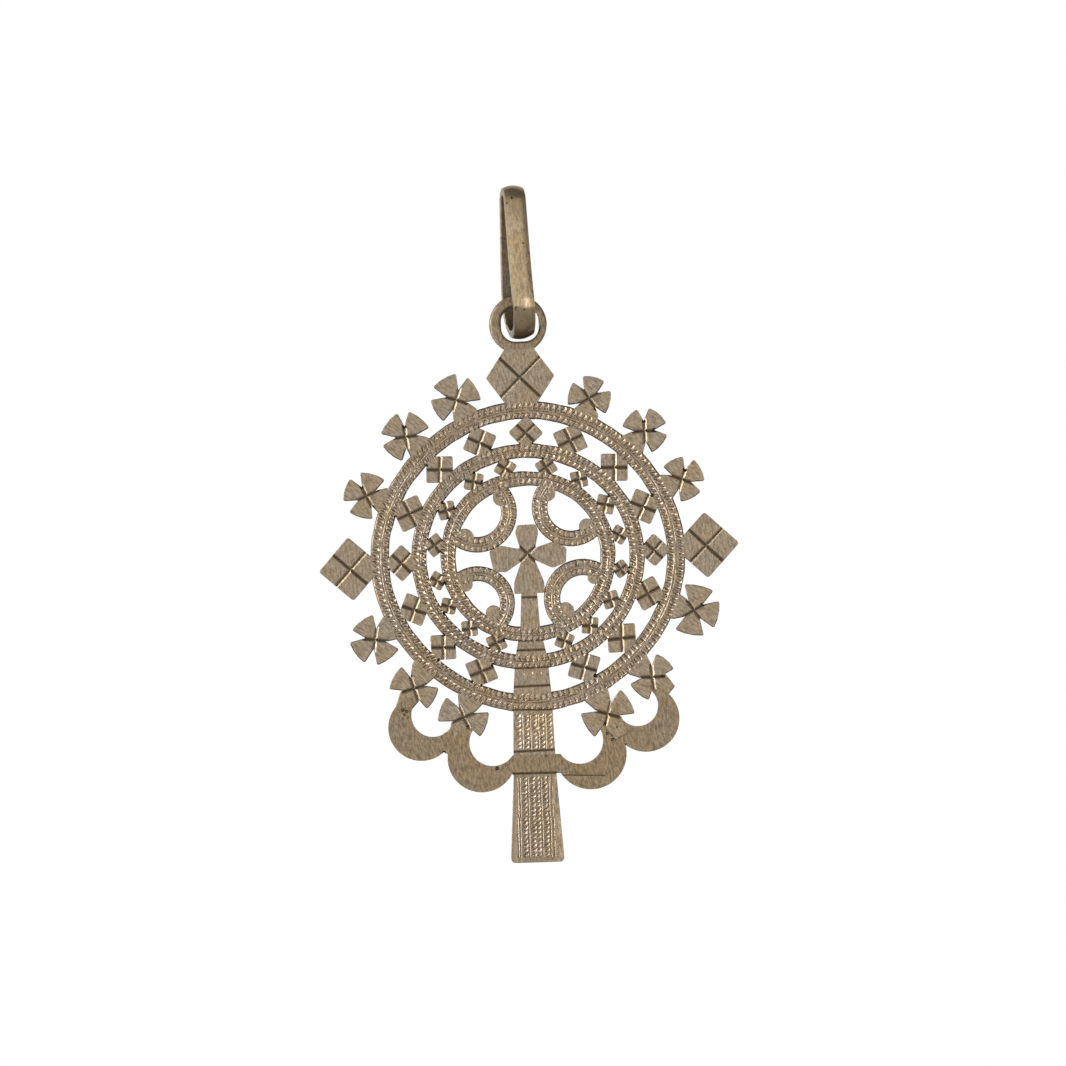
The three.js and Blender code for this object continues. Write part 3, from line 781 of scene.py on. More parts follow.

# %% [markdown]
# The piercings were sawn, and in many of their sharp corners the saw went a little too far. Those
# nicks hold old dirt, and are painted near black, which is also painted shade. Small balls cut
# them, in about half of the corners beside the lozenges and between the arms of the small crosses.

# %% Saw nicks
NICK = 0.2
NICK_SUNK = 0.05  # from the face down to the middle of a ball
NICK_SHARE = 0.5  # the share of the corners that have a nick


# By default a nick is painted near black, for old dirt and as painted shade.
def make_nick(place, size=1.0, finish=DIRT_AND_SHADE):
    """A small ball in the face. Its size varies."""
    bpy.ops.mesh.primitive_uv_sphere_add(
        segments=8, ring_count=6, radius=NICK * size * hand.uniform(0.6, 1.6),
        location=place + Vector((0, 0, FRONT - NICK_SUNK)))
    return settle(new_piece("nick", finish))


nicks = []
for row in ROWS:
    outside, inside = BANDS[row[0]], BANDS[row[1]]
    for angle, half, place in row_between(*row):
        for edge in (inner_edge(outside, angle), outer_edge(inside, angle)):
            aside = half - abs(edge - place.length)
            for side in (-1, 1):
                if hand.random() < NICK_SHARE:
                    nicks.append(make_nick(polar(angle, edge) + polar(angle + 90, side * aside)))
for angle, turn, stand, *_ in RIM_CROSSES:
    for corner, notch in ((45, ARM_NOTCH), (-45, ARM_NOTCH), (135, STEM_NOTCH), (-135, STEM_NOTCH)):
        if hand.random() < NICK_SHARE:
            away = polar(angle + turn + corner, notch * math.sqrt(2))
            nicks.append(make_nick(beyond(angle, stand) + away))
total = len(nicks)
boolean(cross, gather(nicks, "nicks"), "DIFFERENCE")
print("saw nicks:", total)

# %% [markdown]
# ## Lines across the shaft
# Single lines cross the shaft beside each band and on both sides of its panels. They are cut as
# the crossed grooves are, only finer. The shaft widens downwards, so a small function tells its
# half width at each height, and each line gets the length that it needs.

# %% Lines across the shaft
LINE_WIDTH, LINE_DEPTH = 0.4, 0.17
LINE_STRAY = 1.5  # degrees that a line may be off square
LINE_OVER = 0.2  # how far a line runs past the two edges, both together
SHAFT_LINES = {  # heights of the lines across the shaft, below each band's outer edge
    "inner": [-5.8, -0.2, 1.05],
    "middle": [-0.3, 2.1],
    "outer": [-0.35, 5.0, 7.9],
}


def shaft_half(distance):
    """Half the width of the shaft at a distance from the middle."""
    stations = [(0, SHAFT_TOP_HALF)] + shaft_stations + [(foot_end, FOOT_HALF)]
    for (near, near_half), (far, far_half) in zip(stations, stations[1:]):
        if distance <= far:
            return near_half + (far_half - near_half) * (distance - near) / (far - near)
    return FOOT_HALF


def on_shaft(distance, across):
    """A place on the shaft, so far down from the middle and so far to the right of its axis."""
    return polar(SHAFT_ANGLE, distance) + polar(SHAFT_ANGLE + 90, across)


shaft_bars = []
for name, heights in SHAFT_LINES.items():
    for height in heights:
        distance = outer_edge(BANDS[name], SHAFT_ANGLE) + height
        length = shaft_half(distance) * 2 + LINE_OVER
        turn = SHAFT_ANGLE + 90 + hand.uniform(-LINE_STRAY, LINE_STRAY)
        shaft_bars.append(make_groove(length, turn, on_shaft(distance, 0), LINE_WIDTH, LINE_DEPTH))
boolean(cross, gather(shaft_bars, "shaft_bars"), "DIFFERENCE")
print("lines across the shaft:", len(shaft_bars))

# %% [markdown]
# The bracket is left plain, so its flaws show: a few pits from the casting, the corners between
# the lobes, painted near black for dirt and shade, and one long scratch. The balls and the bar of the
# steps before make them too.

# %% Pits and a scratch
PITS = [
    (-16.9, -19.8), (-16.5, -20.2), (-17.2, -20.3), (-16.6, -19.4), (-17.1, -19.2),
    (-14.1, -17.5), (10.6, -22.6), (9.3, -23.4), (9.9, -24.2), (-5.2, -27.3), (1.2, -25.9),
]
PIT_SIZE, PIT_RAISED = 0.8, 0.05  # a pit is smaller and shallower than a saw nick
# The corners between the lobes get near-black balls: dirt and painted shade.
LOBE_CORNERS = [(11.6, -24.9), (-12.0, -25.0)]
SCRATCH = {"length": 6.4, "angle": -2.7, "place": (5.6, -28.65, 0), "width": 0.2, "depth": 0.08}

flaws = [make_nick(Vector((x, y, PIT_RAISED)), PIT_SIZE, CUT) for x, y in PITS]
flaws += [make_nick(Vector((x, y, 0))) for x, y in LOBE_CORNERS]
for some in (flaws[0::2], flaws[1::2]):
    boolean(cross, gather(some, "flaws"), "DIFFERENCE")
scratch = make_groove(
    SCRATCH["length"], SCRATCH["angle"], Vector(SCRATCH["place"]), SCRATCH["width"],
    SCRATCH["depth"])
boolean(cross, scratch, "DIFFERENCE")
print("pits:", len(PITS))

# %% [markdown]
# ## Graver lines
# Two fine lines run along the middle of each band, cut in strokes as long as the hand reaches
# before the work is turned. A stroke is a small diamond spun through a few degrees. Its two ends
# are lifted, as a graver enters the metal and leaves it again. The strokes then follow the band's
# own formula.

# %% Graver strokes
STROKE_WIDTH, STROKE_DEPTH = 0.27, 0.12
STROKE_APART = 0.17  # half the distance between the two lines
STROKE_STEPS = 5
STROKE_LIFT = 0.1  # how far the graver rises at both ends of a stroke


def make_stroke(radius, degrees):
    """A stroke that starts on the X axis and turns about the middle."""
    bpy.ops.mesh.primitive_circle_add(
        vertices=4, radius=1, fill_type="NGON", rotation=(math.radians(90), 0, 0))
    stroke = settle(new_piece("stroke", STRUCK))
    stroke.scale = (STROKE_WIDTH / 2, 1, STROKE_DEPTH)
    stroke.location = (radius, 0, FRONT + PROUD)
    settle(stroke)
    edit(stroke)
    spin(stroke, STROKE_STEPS, degrees)
    leave()
    for vertex in stroke.data.vertices:
        angle = math.degrees(math.atan2(vertex.co.y, vertex.co.x))
        end = abs(angle / degrees * 2 - 1)
        vertex.co.z += STROKE_LIFT * max(0, end - 0.5) * 2
    return stroke


def stroke_round(radius, degrees, gap, start, finish):
    """Strokes one after another along a circle, from one angle to another."""
    first = make_stroke(radius, degrees)
    strokes = []
    angle = start
    while angle + degrees <= finish:
        stroke = copy_of(first)
        stroke.rotation_euler = (0, 0, math.radians(angle))
        strokes.append(stroke)
        angle += degrees + gap * hand.uniform(0.7, 1.6)
    bpy.data.objects.remove(first)
    joined = gather(strokes, "strokes")
    return settle(joined)


print("a stroke is", STROKE_WIDTH, "mm wide and", STROKE_DEPTH, "mm deep")

# %% [markdown]
# The strokes run round each band, along each scroll and down the two panels of the shaft. A
# stroke on a panel is straight, so there the bar of the grooves is enough.

# %% Lines on the bands, the scrolls and the panels
BAND_LINES = {"outer": 1.4, "middle": 1.27, "inner": 0.95}  # from the band's outer edge
BAND_STROKE, SCROLL_STROKE, PANEL_STROKE = 3.4, 2.6, 4.4  # lengths of a stroke
BAND_GAP, PANEL_GAP = 0.12, 0.12  # between two strokes
SCROLL_GAP = 1.5  # in degrees
LINE_WANDER = 0.04
SHAFT_PANELS = [  # from and to, below the outer band, then the places of rows and of lines
    (0.3, 4.9, [-1.95, -0.95, 0.1, 1.05, 2.0], [-1.45, -0.43, 0.6, 1.52]),
    (8.4, 18.9, [-1.42, -0.42, 0.2, 1.15], [-2.25, -1.97, -0.93, 0.68, 1.66, 2.05]),
]

for number, (name, inset) in enumerate(BAND_LINES.items()):
    radius = BANDS[name]["radius"] - inset
    for side in (-1, 1):
        degrees = math.degrees(BAND_STROKE / radius)
        gap = math.degrees(BAND_GAP / radius)
        start = hand.uniform(0, degrees)
        finish = start + FULL_TURN - gap
        strokes = stroke_round(radius + side * STROKE_APART, degrees, gap, start, finish)
        follow(strokes, BANDS[name], LINE_WANDER, seed=20.0 + number)
        boolean(cross, strokes, "DIFFERENCE")

for scroll in SCROLLS:
    sweep = scroll_sweep(scroll)
    middle = scroll["radius"] - scroll["width"] / 2
    for side in (-1, 1):
        degrees = math.degrees(SCROLL_STROKE / middle)
        strokes = stroke_round(
            middle + side * STROKE_APART, degrees, SCROLL_GAP, -sweep + 4, sweep - 2)
        boolean(cross, on_scroll(strokes, scroll), "DIFFERENCE")


def on_panel(start, along, across):
    """A place on a panel. Its rows and lines spread half as fast as the shaft widens."""
    top = below_band + start
    spread = shaft_half(top + along) / shaft_half(top)
    return on_shaft(top + along, across * spread ** 0.5)


panel_strokes = []
for start, finish, _, lines in SHAFT_PANELS:
    count = max(1, round((finish - start) / PANEL_STROKE))
    length = (finish - start) / count
    for across in lines:
        for number in range(count):
            panel_strokes.append(make_groove(
                length - PANEL_GAP, SHAFT_ANGLE, on_panel(start, length * (number + 0.5), across),
                STROKE_WIDTH, STROKE_DEPTH, STRUCK))
print("strokes on the panels:", len(panel_strokes))
boolean(cross, gather(panel_strokes, "panel_strokes"), "DIFFERENCE")

# %% [markdown]
# ## Punched rows
# The rows beside the lines are struck with a small pointed punch, mark after mark. One mark is a
# low sphere with few faces, stretched, drawn out at one end and bent a little, like a comma.

# %% One punch mark
MARK = {"length": 1.3, "width": 0.7, "depth": 0.38, "bend": 0.16}
MARK_ABOVE = 0.16  # from the face to the middle of the sphere
MARK_TAIL = (1, 0.55, 0.75)  # how much of its width and depth the drawn out end keeps
MARK_STRAY, MARK_TURN = 0.04, 12  # how far a mark may be off in place, and in degrees

bpy.ops.mesh.primitive_uv_sphere_add(segments=8, ring_count=6, radius=1)
first_mark = new_piece("mark", STRUCK)
first_mark.scale = (MARK["length"] / 2, MARK["width"] / 2, MARK["depth"])
settle(first_mark)
edit(first_mark)
pick(first_mark, "VERT", lambda place: place.x < -MARK["length"] * 0.2)
bpy.ops.transform.resize(value=MARK_TAIL, center_override=(0, 0, 0))
leave()
for vertex in first_mark.data.vertices:
    vertex.co.y += MARK["bend"] * (vertex.co.x / (MARK["length"] / 2)) ** 2


def strike(place, angle, size=1.0):
    """One mark at a place, its drop pointing along an angle."""
    mark = copy_of(first_mark)
    stray = [hand.uniform(-MARK_STRAY, MARK_STRAY) for _ in range(2)]
    mark.location = place + Vector((*stray, FRONT + MARK_ABOVE))
    mark.rotation_euler = (0, 0, math.radians(angle + hand.uniform(-MARK_TURN, MARK_TURN)))
    grow_by = size * hand.uniform(0.86, 1.1)
    mark.scale = (grow_by, grow_by * hand.uniform(0.85, 1.1), grow_by)
    return mark


print("one mark has", len(first_mark.data.polygons), "faces")

# %% [markdown]
# Hundreds of copies are set along the rows, each a little off in place, turn and size. Neighbours
# may touch, and a cutter should not overlap itself, so the rows are shared out over four layers
# that keep clear of each other. Of each layer, every second mark is cut first and then the others.

# %% Rows of marks
BAND_ROWS = {"outer": [0.68, 2.0], "middle": [0.6, 1.62], "inner": [0.45, 1.42]}
MARK_PITCH, MARK_LEAN = 0.74, -26  # the lean is in degrees, from straight across the band
SCROLL_ROW, SCROLL_MARK = 0.56, 0.86  # distance from the middle of a scroll, and size
PANEL_PITCH, PANEL_LEAN, PANEL_MARK = 0.57, 28, 0.84
DOTS = {"below": 0.45, "across": (-1.1, 0, 1.1), "size": 0.7}  # three under the middle band


def strike_round(radius, start, finish, place, size=1.0):
    """Marks along a circle. place turns an angle and a radius into a place and a direction."""
    count = 2 * round(math.radians(finish - start) * radius / MARK_PITCH / 2)
    marks = []
    for number in range(count):
        angle = start + (finish - start) * (number + 0.5) / count
        spot, outward = place(angle, radius)
        marks.append(strike(spot, outward + MARK_LEAN, size))
    return marks


def on_band(band):
    """What strike_round needs to set marks on a band."""
    return lambda angle, radius: (polar(angle, radius * band_share(band, angle)), angle)


def beside_scroll(scroll):
    """What strike_round needs to set marks on a scroll."""
    centre = polar(scroll["angle"], scroll["distance"])
    turn = scroll["angle"] + 180
    return lambda angle, radius: (centre + polar(turn + angle, radius), turn + angle)


layers = [[], [], [], []]
for name, insets in BAND_ROWS.items():
    band = BANDS[name]
    for layer, inset in zip(layers[:2], insets):
        layer += strike_round(band["radius"] - inset, 0, FULL_TURN, on_band(band))
for scroll in SCROLLS:
    sweep = scroll_sweep(scroll) - 3
    middle = scroll["radius"] - scroll["width"] / 2
    for layer, side in zip(layers[2:], (-1, 1)):
        layer += strike_round(
            middle + side * SCROLL_ROW, -sweep, sweep, beside_scroll(scroll), SCROLL_MARK)
for start, finish, rows, _ in SHAFT_PANELS:
    count = 2 * round((finish - start) / PANEL_PITCH / 2)
    for column, across in enumerate(rows):
        for number in range(count):
            place = on_panel(start, (finish - start) * (number + 0.5) / count, across)
            layers[2 + column % 2].append(strike(place, PANEL_LEAN, PANEL_MARK))
dots_at = outer_edge(BANDS["middle"], SHAFT_ANGLE) + DOTS["below"]
for across in DOTS["across"]:
    layers[3].append(strike(on_shaft(dots_at, across), SHAFT_ANGLE, DOTS["size"]))
for layer in layers:
    for marks in (layer[0::2], layer[1::2]):
        boolean(cross, gather(marks, "marks"), "DIFFERENCE")
bpy.data.objects.remove(first_mark)
print("punch marks:", sum(len(layer) for layer in layers))

# %% [markdown]
# ## Shading
# A cut edge should look sharp and a rounded one smooth. Shade smooth by angle does both: it
# smooths only where two faces meet at a small angle. A weighted normal modifier then lets the
# large flat faces stay flat, and leaves the bending of the light to the narrow rounded ones.

# %% Shade the cross
def shade(piece, degrees):
    """Smooths the edges between faces that meet at less than an angle."""
    alone(piece)
    bpy.ops.object.shade_smooth_by_angle(angle=math.radians(degrees))
    bpy.ops.object.modifier_add(type="WEIGHTED_NORMAL")
    piece.modifiers[-1].keep_sharp = True
    piece.modifiers[-1].weight = 100
    bpy.ops.object.modifier_apply(modifier=piece.modifiers[-1].name)


shade(cross, degrees=35)
print("the cross has", len(cross.data.polygons), "faces")

# %% [markdown]
# ## The ring
# The ring is one strip, domed outside and flat inside, bent to a long loop and lapped on its back
# leg. Its section is drawn once, spun round the wide arc at the bottom, carried up a leg in steps,
# spun round the narrow arc at the top and carried down the other leg. It starts and stops at the
# lap, where a fine gap stays open. The loop is drawn flat: X is across the loop, Y is up.

# %% Ring sizes
STRIP_WIDTH, STRIP_THICKNESS, STRIP_CROWN = 2.8, 1.3, 0.35
STRIP_EDGE = 0.15  # blunting of the strip's edges
DOME_EDGE, DOME_STEPS = 0.06, 8  # where the dome starts from an edge, and in how many steps
RING_HEIGHT, RING_BOTTOM, RING_TOP = 20.0, 4.6, 2.4  # height and outer radii
RING_FOOT = -18.7  # its lowest point, below the middle of its top
LAP = 5.85  # how far the lap is below the middle of the top
LAP_GAP = 0.12
UNDER_LAP_STEPS, BOTTOM_STEPS, LEG_STEPS, TOP_STEPS, OVER_LAP_STEPS = 8, 36, 12, 28, 6

tilt = math.asin((RING_BOTTOM - RING_TOP) / (RING_HEIGHT - RING_BOTTOM - RING_TOP))
top_middle = RING_FOOT + RING_HEIGHT - RING_TOP
low_middle = RING_FOOT + RING_BOTTOM


def section_points():
    """The strip's section: x outwards from the flat inside, y across its width."""
    half, rim = STRIP_WIDTH / 2, STRIP_THICKNESS - STRIP_CROWN
    soft, round_off = STRIP_EDGE, STRIP_EDGE * 0.3
    points = [(0, half - soft), (0, -half + soft), (round_off, -half + round_off), (soft, -half)]
    points += [(rim - soft, -half)]
    for step in range(DOME_STEPS + 1):
        across = -half + DOME_EDGE + (STRIP_WIDTH - 2 * DOME_EDGE) * step / DOME_STEPS
        points.append((rim + STRIP_CROWN * (1 - (across / half) ** 2), across))
    points += [(rim - soft, half), (soft, half), (round_off, half - round_off)]
    return points


points = section_points()
print("the strip's section has", len(points), "points, the legs lean", round(math.degrees(tilt), 1))

# %% [markdown]
# The two legs lean towards each other at the top. So the bottom arc turns by half a circle and
# twice that lean, and the top arc by half a circle less the same. The strip starts under the lap,
# and a few lengths and directions carry it round until it comes back to the lap from above.

# %% Bend the ring
lap_along = (top_middle + math.sin(tilt) * (RING_TOP - STRIP_THICKNESS) + LAP) / math.cos(tilt)
leg_length = math.sqrt((top_middle - low_middle) ** 2 - (RING_BOTTOM - RING_TOP) ** 2)
back_down = Vector((math.sin(tilt), -math.cos(tilt), 0))
front_up = Vector((math.sin(tilt), math.cos(tilt), 0))
outward = Vector((math.cos(tilt), math.sin(tilt), 0))
leg_inside = Vector((0, top_middle, 0)) + outward * (RING_TOP - STRIP_THICKNESS)

bpy.ops.mesh.primitive_circle_add(vertices=len(points), radius=1, fill_type="NGON")
ring = new_piece("suspension_ring_worn")
for vertex, (out, across) in zip(ring.data.vertices, points):
    place = leg_inside + back_down * (lap_along + LAP_GAP / 2) + outward * out
    vertex.co = place + Vector((0, 0, across))


def carry(direction, length, steps):
    """In edit mode, extrudes the selected end of the strip in equal steps."""
    for _ in range(steps):
        bpy.ops.mesh.extrude_region_move(
            TRANSFORM_OT_translate={"value": direction * (length / steps)})


edit(ring)
carry(back_down, leg_length - lap_along - LAP_GAP / 2, UNDER_LAP_STEPS)
bpy.ops.mesh.spin(
    steps=BOTTOM_STEPS, angle=math.pi + 2 * tilt, center=(0, low_middle, 0), axis=OUT_OF_FACE)
carry(front_up, leg_length, LEG_STEPS)
bpy.ops.mesh.spin(
    steps=TOP_STEPS, angle=math.pi - 2 * tilt, center=(0, top_middle, 0), axis=OUT_OF_FACE)
carry(back_down, lap_along - LAP_GAP / 2, OVER_LAP_STEPS)
bpy.ops.mesh.select_all(action="SELECT")
bpy.ops.mesh.normals_make_consistent(inside=False)
leave()
for face in ring.data.polygons:
    hub = Vector((0, min(max(face.center.y, low_middle), top_middle), 0))
    if face.normal.dot((face.center - hub).normalized()) < -0.5:
        face.material_index = SLANTED  # on the ring this place holds the finish of its inside
print("ring:", len(ring.data.polygons), "faces")

# %% [markdown]
# The legs of the real ring lean a little, and its lowest part curls to one side. A formula shifts
# each height sideways and keeps the strip's width square to its run. The seam of the lap runs at
# a slant through the strip, so the points beside its gap are moved up or down first.

# %% Lean and lap
RING_LEAN, RING_CURL, CURL_POWER = 0.05, 0.55, 6  # aside at the low end, by a line and by a curl
LAP_SLANT, LAP_SCARF = 0.2, 0.35  # how far the lap runs off square, across and through the strip
STRIP_MIDDLE = 0.6  # from the flat inside out to the middle of the strip
RING_SHARE, RING_ROUGH = 0.99, 0.008  # of the depth of the loop that stays, and how it varies
ROUGH_SCALE = 0.9

for vertex in ring.data.vertices:
    depth, height, across = vertex.co
    on_lap = (vertex.co - leg_inside).dot(back_down) - lap_along
    if depth > 0 and abs(on_lap) < LAP_GAP:
        through = (vertex.co - leg_inside).dot(outward) - STRIP_MIDDLE
        height -= LAP_SLANT * across + LAP_SCARF * through
    share = 1 - (height - RING_FOOT) / RING_HEIGHT
    aside = RING_LEAN * share + RING_CURL * share ** CURL_POWER
    slope = RING_LEAN + RING_CURL * CURL_POWER * share ** (CURL_POWER - 1)
    lean = math.atan(-slope / RING_HEIGHT)
    rough = RING_ROUGH * noise.noise(Vector((depth, height, across)) * ROUGH_SCALE)
    vertex.co = (
        depth * (RING_SHARE + rough), height - across * math.sin(lean),
        aside + across * math.cos(lean))
print("the low end of the ring lies", round(RING_LEAN + RING_CURL, 2), "mm aside")

# %% [markdown]
# A few dozen small pits mark the strip. A pit is a low sphere, copied, stretched and set on faces
# that are chosen by chance but kept apart. All the pits are joined and cut away in one step.

# %% Pits in the ring
PIT_TRIES, PIT_COUNT = 400, 46
PIT_APART, PIT_STRAY = 0.9, 0.3
PIT_LIFT = 0.35  # the share of its size that a pit's middle stands out of the face

bpy.ops.mesh.primitive_uv_sphere_add(segments=10, ring_count=6, radius=1)
first_pit = new_piece("pit", CUT)
# A spin leaves the faces in a new order at each run, so they are sorted by their corners.
faces = sorted(ring.data.polygons, key=lambda face: sorted(face.vertices))
pits = []
spots = []
for _ in range(PIT_TRIES):
    face = hand.choice(faces)
    spot = face.center + Vector((0, hand.uniform(-PIT_STRAY, PIT_STRAY), 0))
    apart = all((spot - other).length > PIT_APART for other in spots)
    if apart and len(pits) < PIT_COUNT:
        size = hand.uniform(0.1, 0.24)
        pit = copy_of(first_pit)
        pit.location = spot + face.normal * size * PIT_LIFT
        pit.scale = (size, size * hand.uniform(0.8, 1.5), size * hand.uniform(0.7, 1.2))
        pits.append(pit)
        spots.append(spot)
boolean(ring, gather(pits, "pits"), "DIFFERENCE")
bpy.data.objects.remove(first_pit)
shade(ring, degrees=30)
print("ring with", len(spots), "pits:", len(ring.data.polygons), "faces")

# %% [markdown]
# ## From the bench to the frame
# The pieces are turned upright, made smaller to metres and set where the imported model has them.
# Their place, turn and scale are written into their meshes, so their objects stay at the origin.

# %% Set both pieces in their place
PLATE_PLACE = Vector((-0.0142, 0, -46.987))  # the middle of the bands in the frame
RING_YAW = 11  # degrees that the loop is turned off the line of sight

cross.rotation_euler = (math.radians(90), 0, 0)
cross.location = PLATE_PLACE * MM
cross.scale = (MM, MM, MM)
settle(cross)
ring.rotation_euler = (math.radians(90), 0, math.radians(90 + RING_YAW))
ring.scale = (MM, MM, MM)
settle(ring)

for piece, body, node, slot in (
        (cross, "cross", "cross_plate", "plate_metal"),
        (ring, "ring", "suspension_ring", "ring_metal")):
    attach(piece, body)
    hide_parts(node)
    places = [vertex.co / MM for vertex in piece.data.vertices]
    for axis in range(3):
        along = [place[axis] for place in places]
        packed = [corner[axis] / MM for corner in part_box(node)]
        print(node, "XYZ"[axis], "from %.2f to %.2f" % (min(along), max(along)), "inside",
              "%.2f to %.2f" % tuple(packed))

# %% [markdown]
# ## Node helpers
# Each finish is a set of shader nodes. An effect that several finishes share is a node group with
# inputs of its own, which puts out a mask or a height. All of it is worked out from Object
# coordinates, so the finish moves with the piece.

# %% Node helpers
def add(tree, kind, **settings):
    """Adds a node. A setting named input_something goes to that socket."""
    node = tree.nodes.new(kind)
    for name, value in settings.items():
        if name.startswith("input_"):
            node.inputs[name[6:]].default_value = value
        else:
            setattr(node, name, value)
    return node


def link(tree, source, target):
    """Connects a socket that puts out to one that takes in."""
    tree.links.new(source, target)


def new_group(name, inputs, outputs):
    """A node group that takes in vectors and puts out values, by their names."""
    tree = bpy.data.node_groups.new(name, "ShaderNodeTree")
    for socket in inputs:
        tree.interface.new_socket(socket, in_out="INPUT", socket_type="NodeSocketVector")
    for socket in outputs:
        tree.interface.new_socket(socket, in_out="OUTPUT", socket_type="NodeSocketFloat")
    return tree, tree.nodes.new("NodeGroupInput"), tree.nodes.new("NodeGroupOutput")


def use(tree, group, **sources):
    """Places a node group in a material and connects its inputs."""
    node = add(tree, "ShaderNodeGroup", node_tree=group)
    for name, source in sources.items():
        link(tree, source, node.inputs[name])
    return node


def one_part(tree, vector, axis):
    """The X, Y or Z of a vector."""
    node = add(tree, "ShaderNodeSeparateXYZ")
    link(tree, vector, node.inputs[0])
    return node.outputs[axis]


def grade(tree, source, low, high, to_low=0.0, to_high=1.0):
    """Maps a value from one range to another, held at its ends."""
    node = add(tree, "ShaderNodeMapRange")
    ends = {"From Min": low, "From Max": high, "To Min": to_low, "To Max": to_high}
    for name, value in ends.items():
        node.inputs[name].default_value = value
    link(tree, source, node.inputs["Value"])
    return node.outputs["Result"]


def combine(tree, operation, first, second):
    """Adds or multiplies two values. The second one is a socket or a number."""
    node = add(tree, "ShaderNodeMath", operation=operation)
    link(tree, first, node.inputs[0])
    if isinstance(second, (int, float)):
        node.inputs[1].default_value = second
    else:
        link(tree, second, node.inputs[1])
    return node.outputs[0]


def times(tree, first, second):
    """Multiplies two values."""
    return combine(tree, "MULTIPLY", first, second)


def plus(tree, first, second):
    """Adds two values."""
    return combine(tree, "ADD", first, second)


def blend(tree, mask, first, second):
    """Mixes two colours by a mask. A colour is a socket or three numbers."""
    node = add(tree, "ShaderNodeMix", data_type="RGBA")
    link(tree, mask, node.inputs["Factor"])
    for socket, colour in ((node.inputs[6], first), (node.inputs[7], second)):
        if isinstance(colour, tuple):
            socket.default_value = (*colour, 1)
        else:
            link(tree, colour, socket)
    return node.outputs[2]


print("finishes to fill:", len(finishes), "on the cross and 3 on the ring")

# %% [markdown]
# ## Shared effects
# **Filed grain** is noise stretched along one direction, as the teeth of a fine file leave it.
# ** Patina** is a slow cloud and a fast one, for the uneven tarnish. **Sides** tells how far a
# surface faces away from the front or back of the cross, which is how the sawn walls of the
# piercings get their darker tone: old wax and dirt, and painted shade.

# %% Shared effects
GRAIN_SCALE = (4200, 3000, 1100)  # waves to a metre, fewest along the strokes of the file
CLOUD_SCALE, SPECKLE_SCALE = 260.0, 3600.0

grain, grain_in, grain_out = new_group("filed_grain", ["Vector", "Turn"], ["Height"])
turned = add(grain, "ShaderNodeVectorRotate", rotation_type="EULER_XYZ")
link(grain, grain_in.outputs["Vector"], turned.inputs["Vector"])
link(grain, grain_in.outputs["Turn"], turned.inputs["Rotation"])
stretched = add(grain, "ShaderNodeMapping")
stretched.inputs["Scale"].default_value = GRAIN_SCALE
link(grain, turned.outputs["Vector"], stretched.inputs["Vector"])
scratches = add(grain, "ShaderNodeTexNoise", input_Scale=1.0, input_Detail=3.0, input_Roughness=0.6)
link(grain, stretched.outputs["Vector"], scratches.inputs["Vector"])
link(grain, scratches.outputs["Fac"], grain_out.inputs["Height"])

patina, patina_in, patina_out = new_group("patina", ["Vector"], ["Cloud", "Speckle"])
for output, scale, detail, roughness, low, high in (
        ("Cloud", CLOUD_SCALE, 4.0, 0.55, 0.35, 0.65),
        ("Speckle", SPECKLE_SCALE, 2.0, 0.6, 0.4, 0.72)):
    spots = add(
        patina, "ShaderNodeTexNoise", input_Scale=scale, input_Detail=detail,
        input_Roughness=roughness)
    link(patina, patina_in.outputs["Vector"], spots.inputs["Vector"])
    link(patina, grade(patina, spots.outputs["Fac"], low, high), patina_out.inputs[output])

sides, sides_in, sides_out = new_group("sides", ["Normal"], ["Mask"])
facing = add(sides, "ShaderNodeMath", operation="ABSOLUTE")
link(sides, one_part(sides, sides_in.outputs["Normal"], "Y"), facing.inputs[0])
link(sides, grade(sides, facing.outputs[0], 0.85, 0.2), sides_out.inputs["Mask"])
print("shared effects:", [group.name for group in (grain, patina, sides)])

# %% [markdown]
# ## The metal
# Both pieces are a pale copper alloy with little polish left. The filed faces are dull and
# streaked, the cut marks are cleaner and brighter at their edges and painted darker deep down, for
# dirt and painted shade, and the sawn walls are painted darker for old wax, dirt and painted shade.
# One function fills all the finishes. It lays the dull parts over the pale ones by masks, and what
# sets a finish apart is given as a few numbers: how light it is, how rough, how deep its grain,
# and where it gets painted shade.

# %% The metal
PALE = (0.35, 0.285, 0.216)
WARM = (0.363, 0.272, 0.169)
DULL = (0.156, 0.122, 0.084)
DARK = (0.1, 0.078, 0.056)
STREAK_FROM, STREAK_TO, STREAK_MOST = 0.42, 0.66, 0.85  # heights of the grain that look dull
SPECKLE_SHARE = 0.5
# From here down into a cut the colour grows darker: dirt and painted shade.
GROOVE_RIM, GROOVE_FLOOR = -0.95 * MM, -0.8 * MM  # Y just under the face, and deep in a groove
UNDER_FROM, UNDER_TO = -0.08, -0.16  # how far down a normal points where a side is in shadow
ROUGHER, SMOOTHER = 0.12, -0.06  # how far the roughness strays along the grain


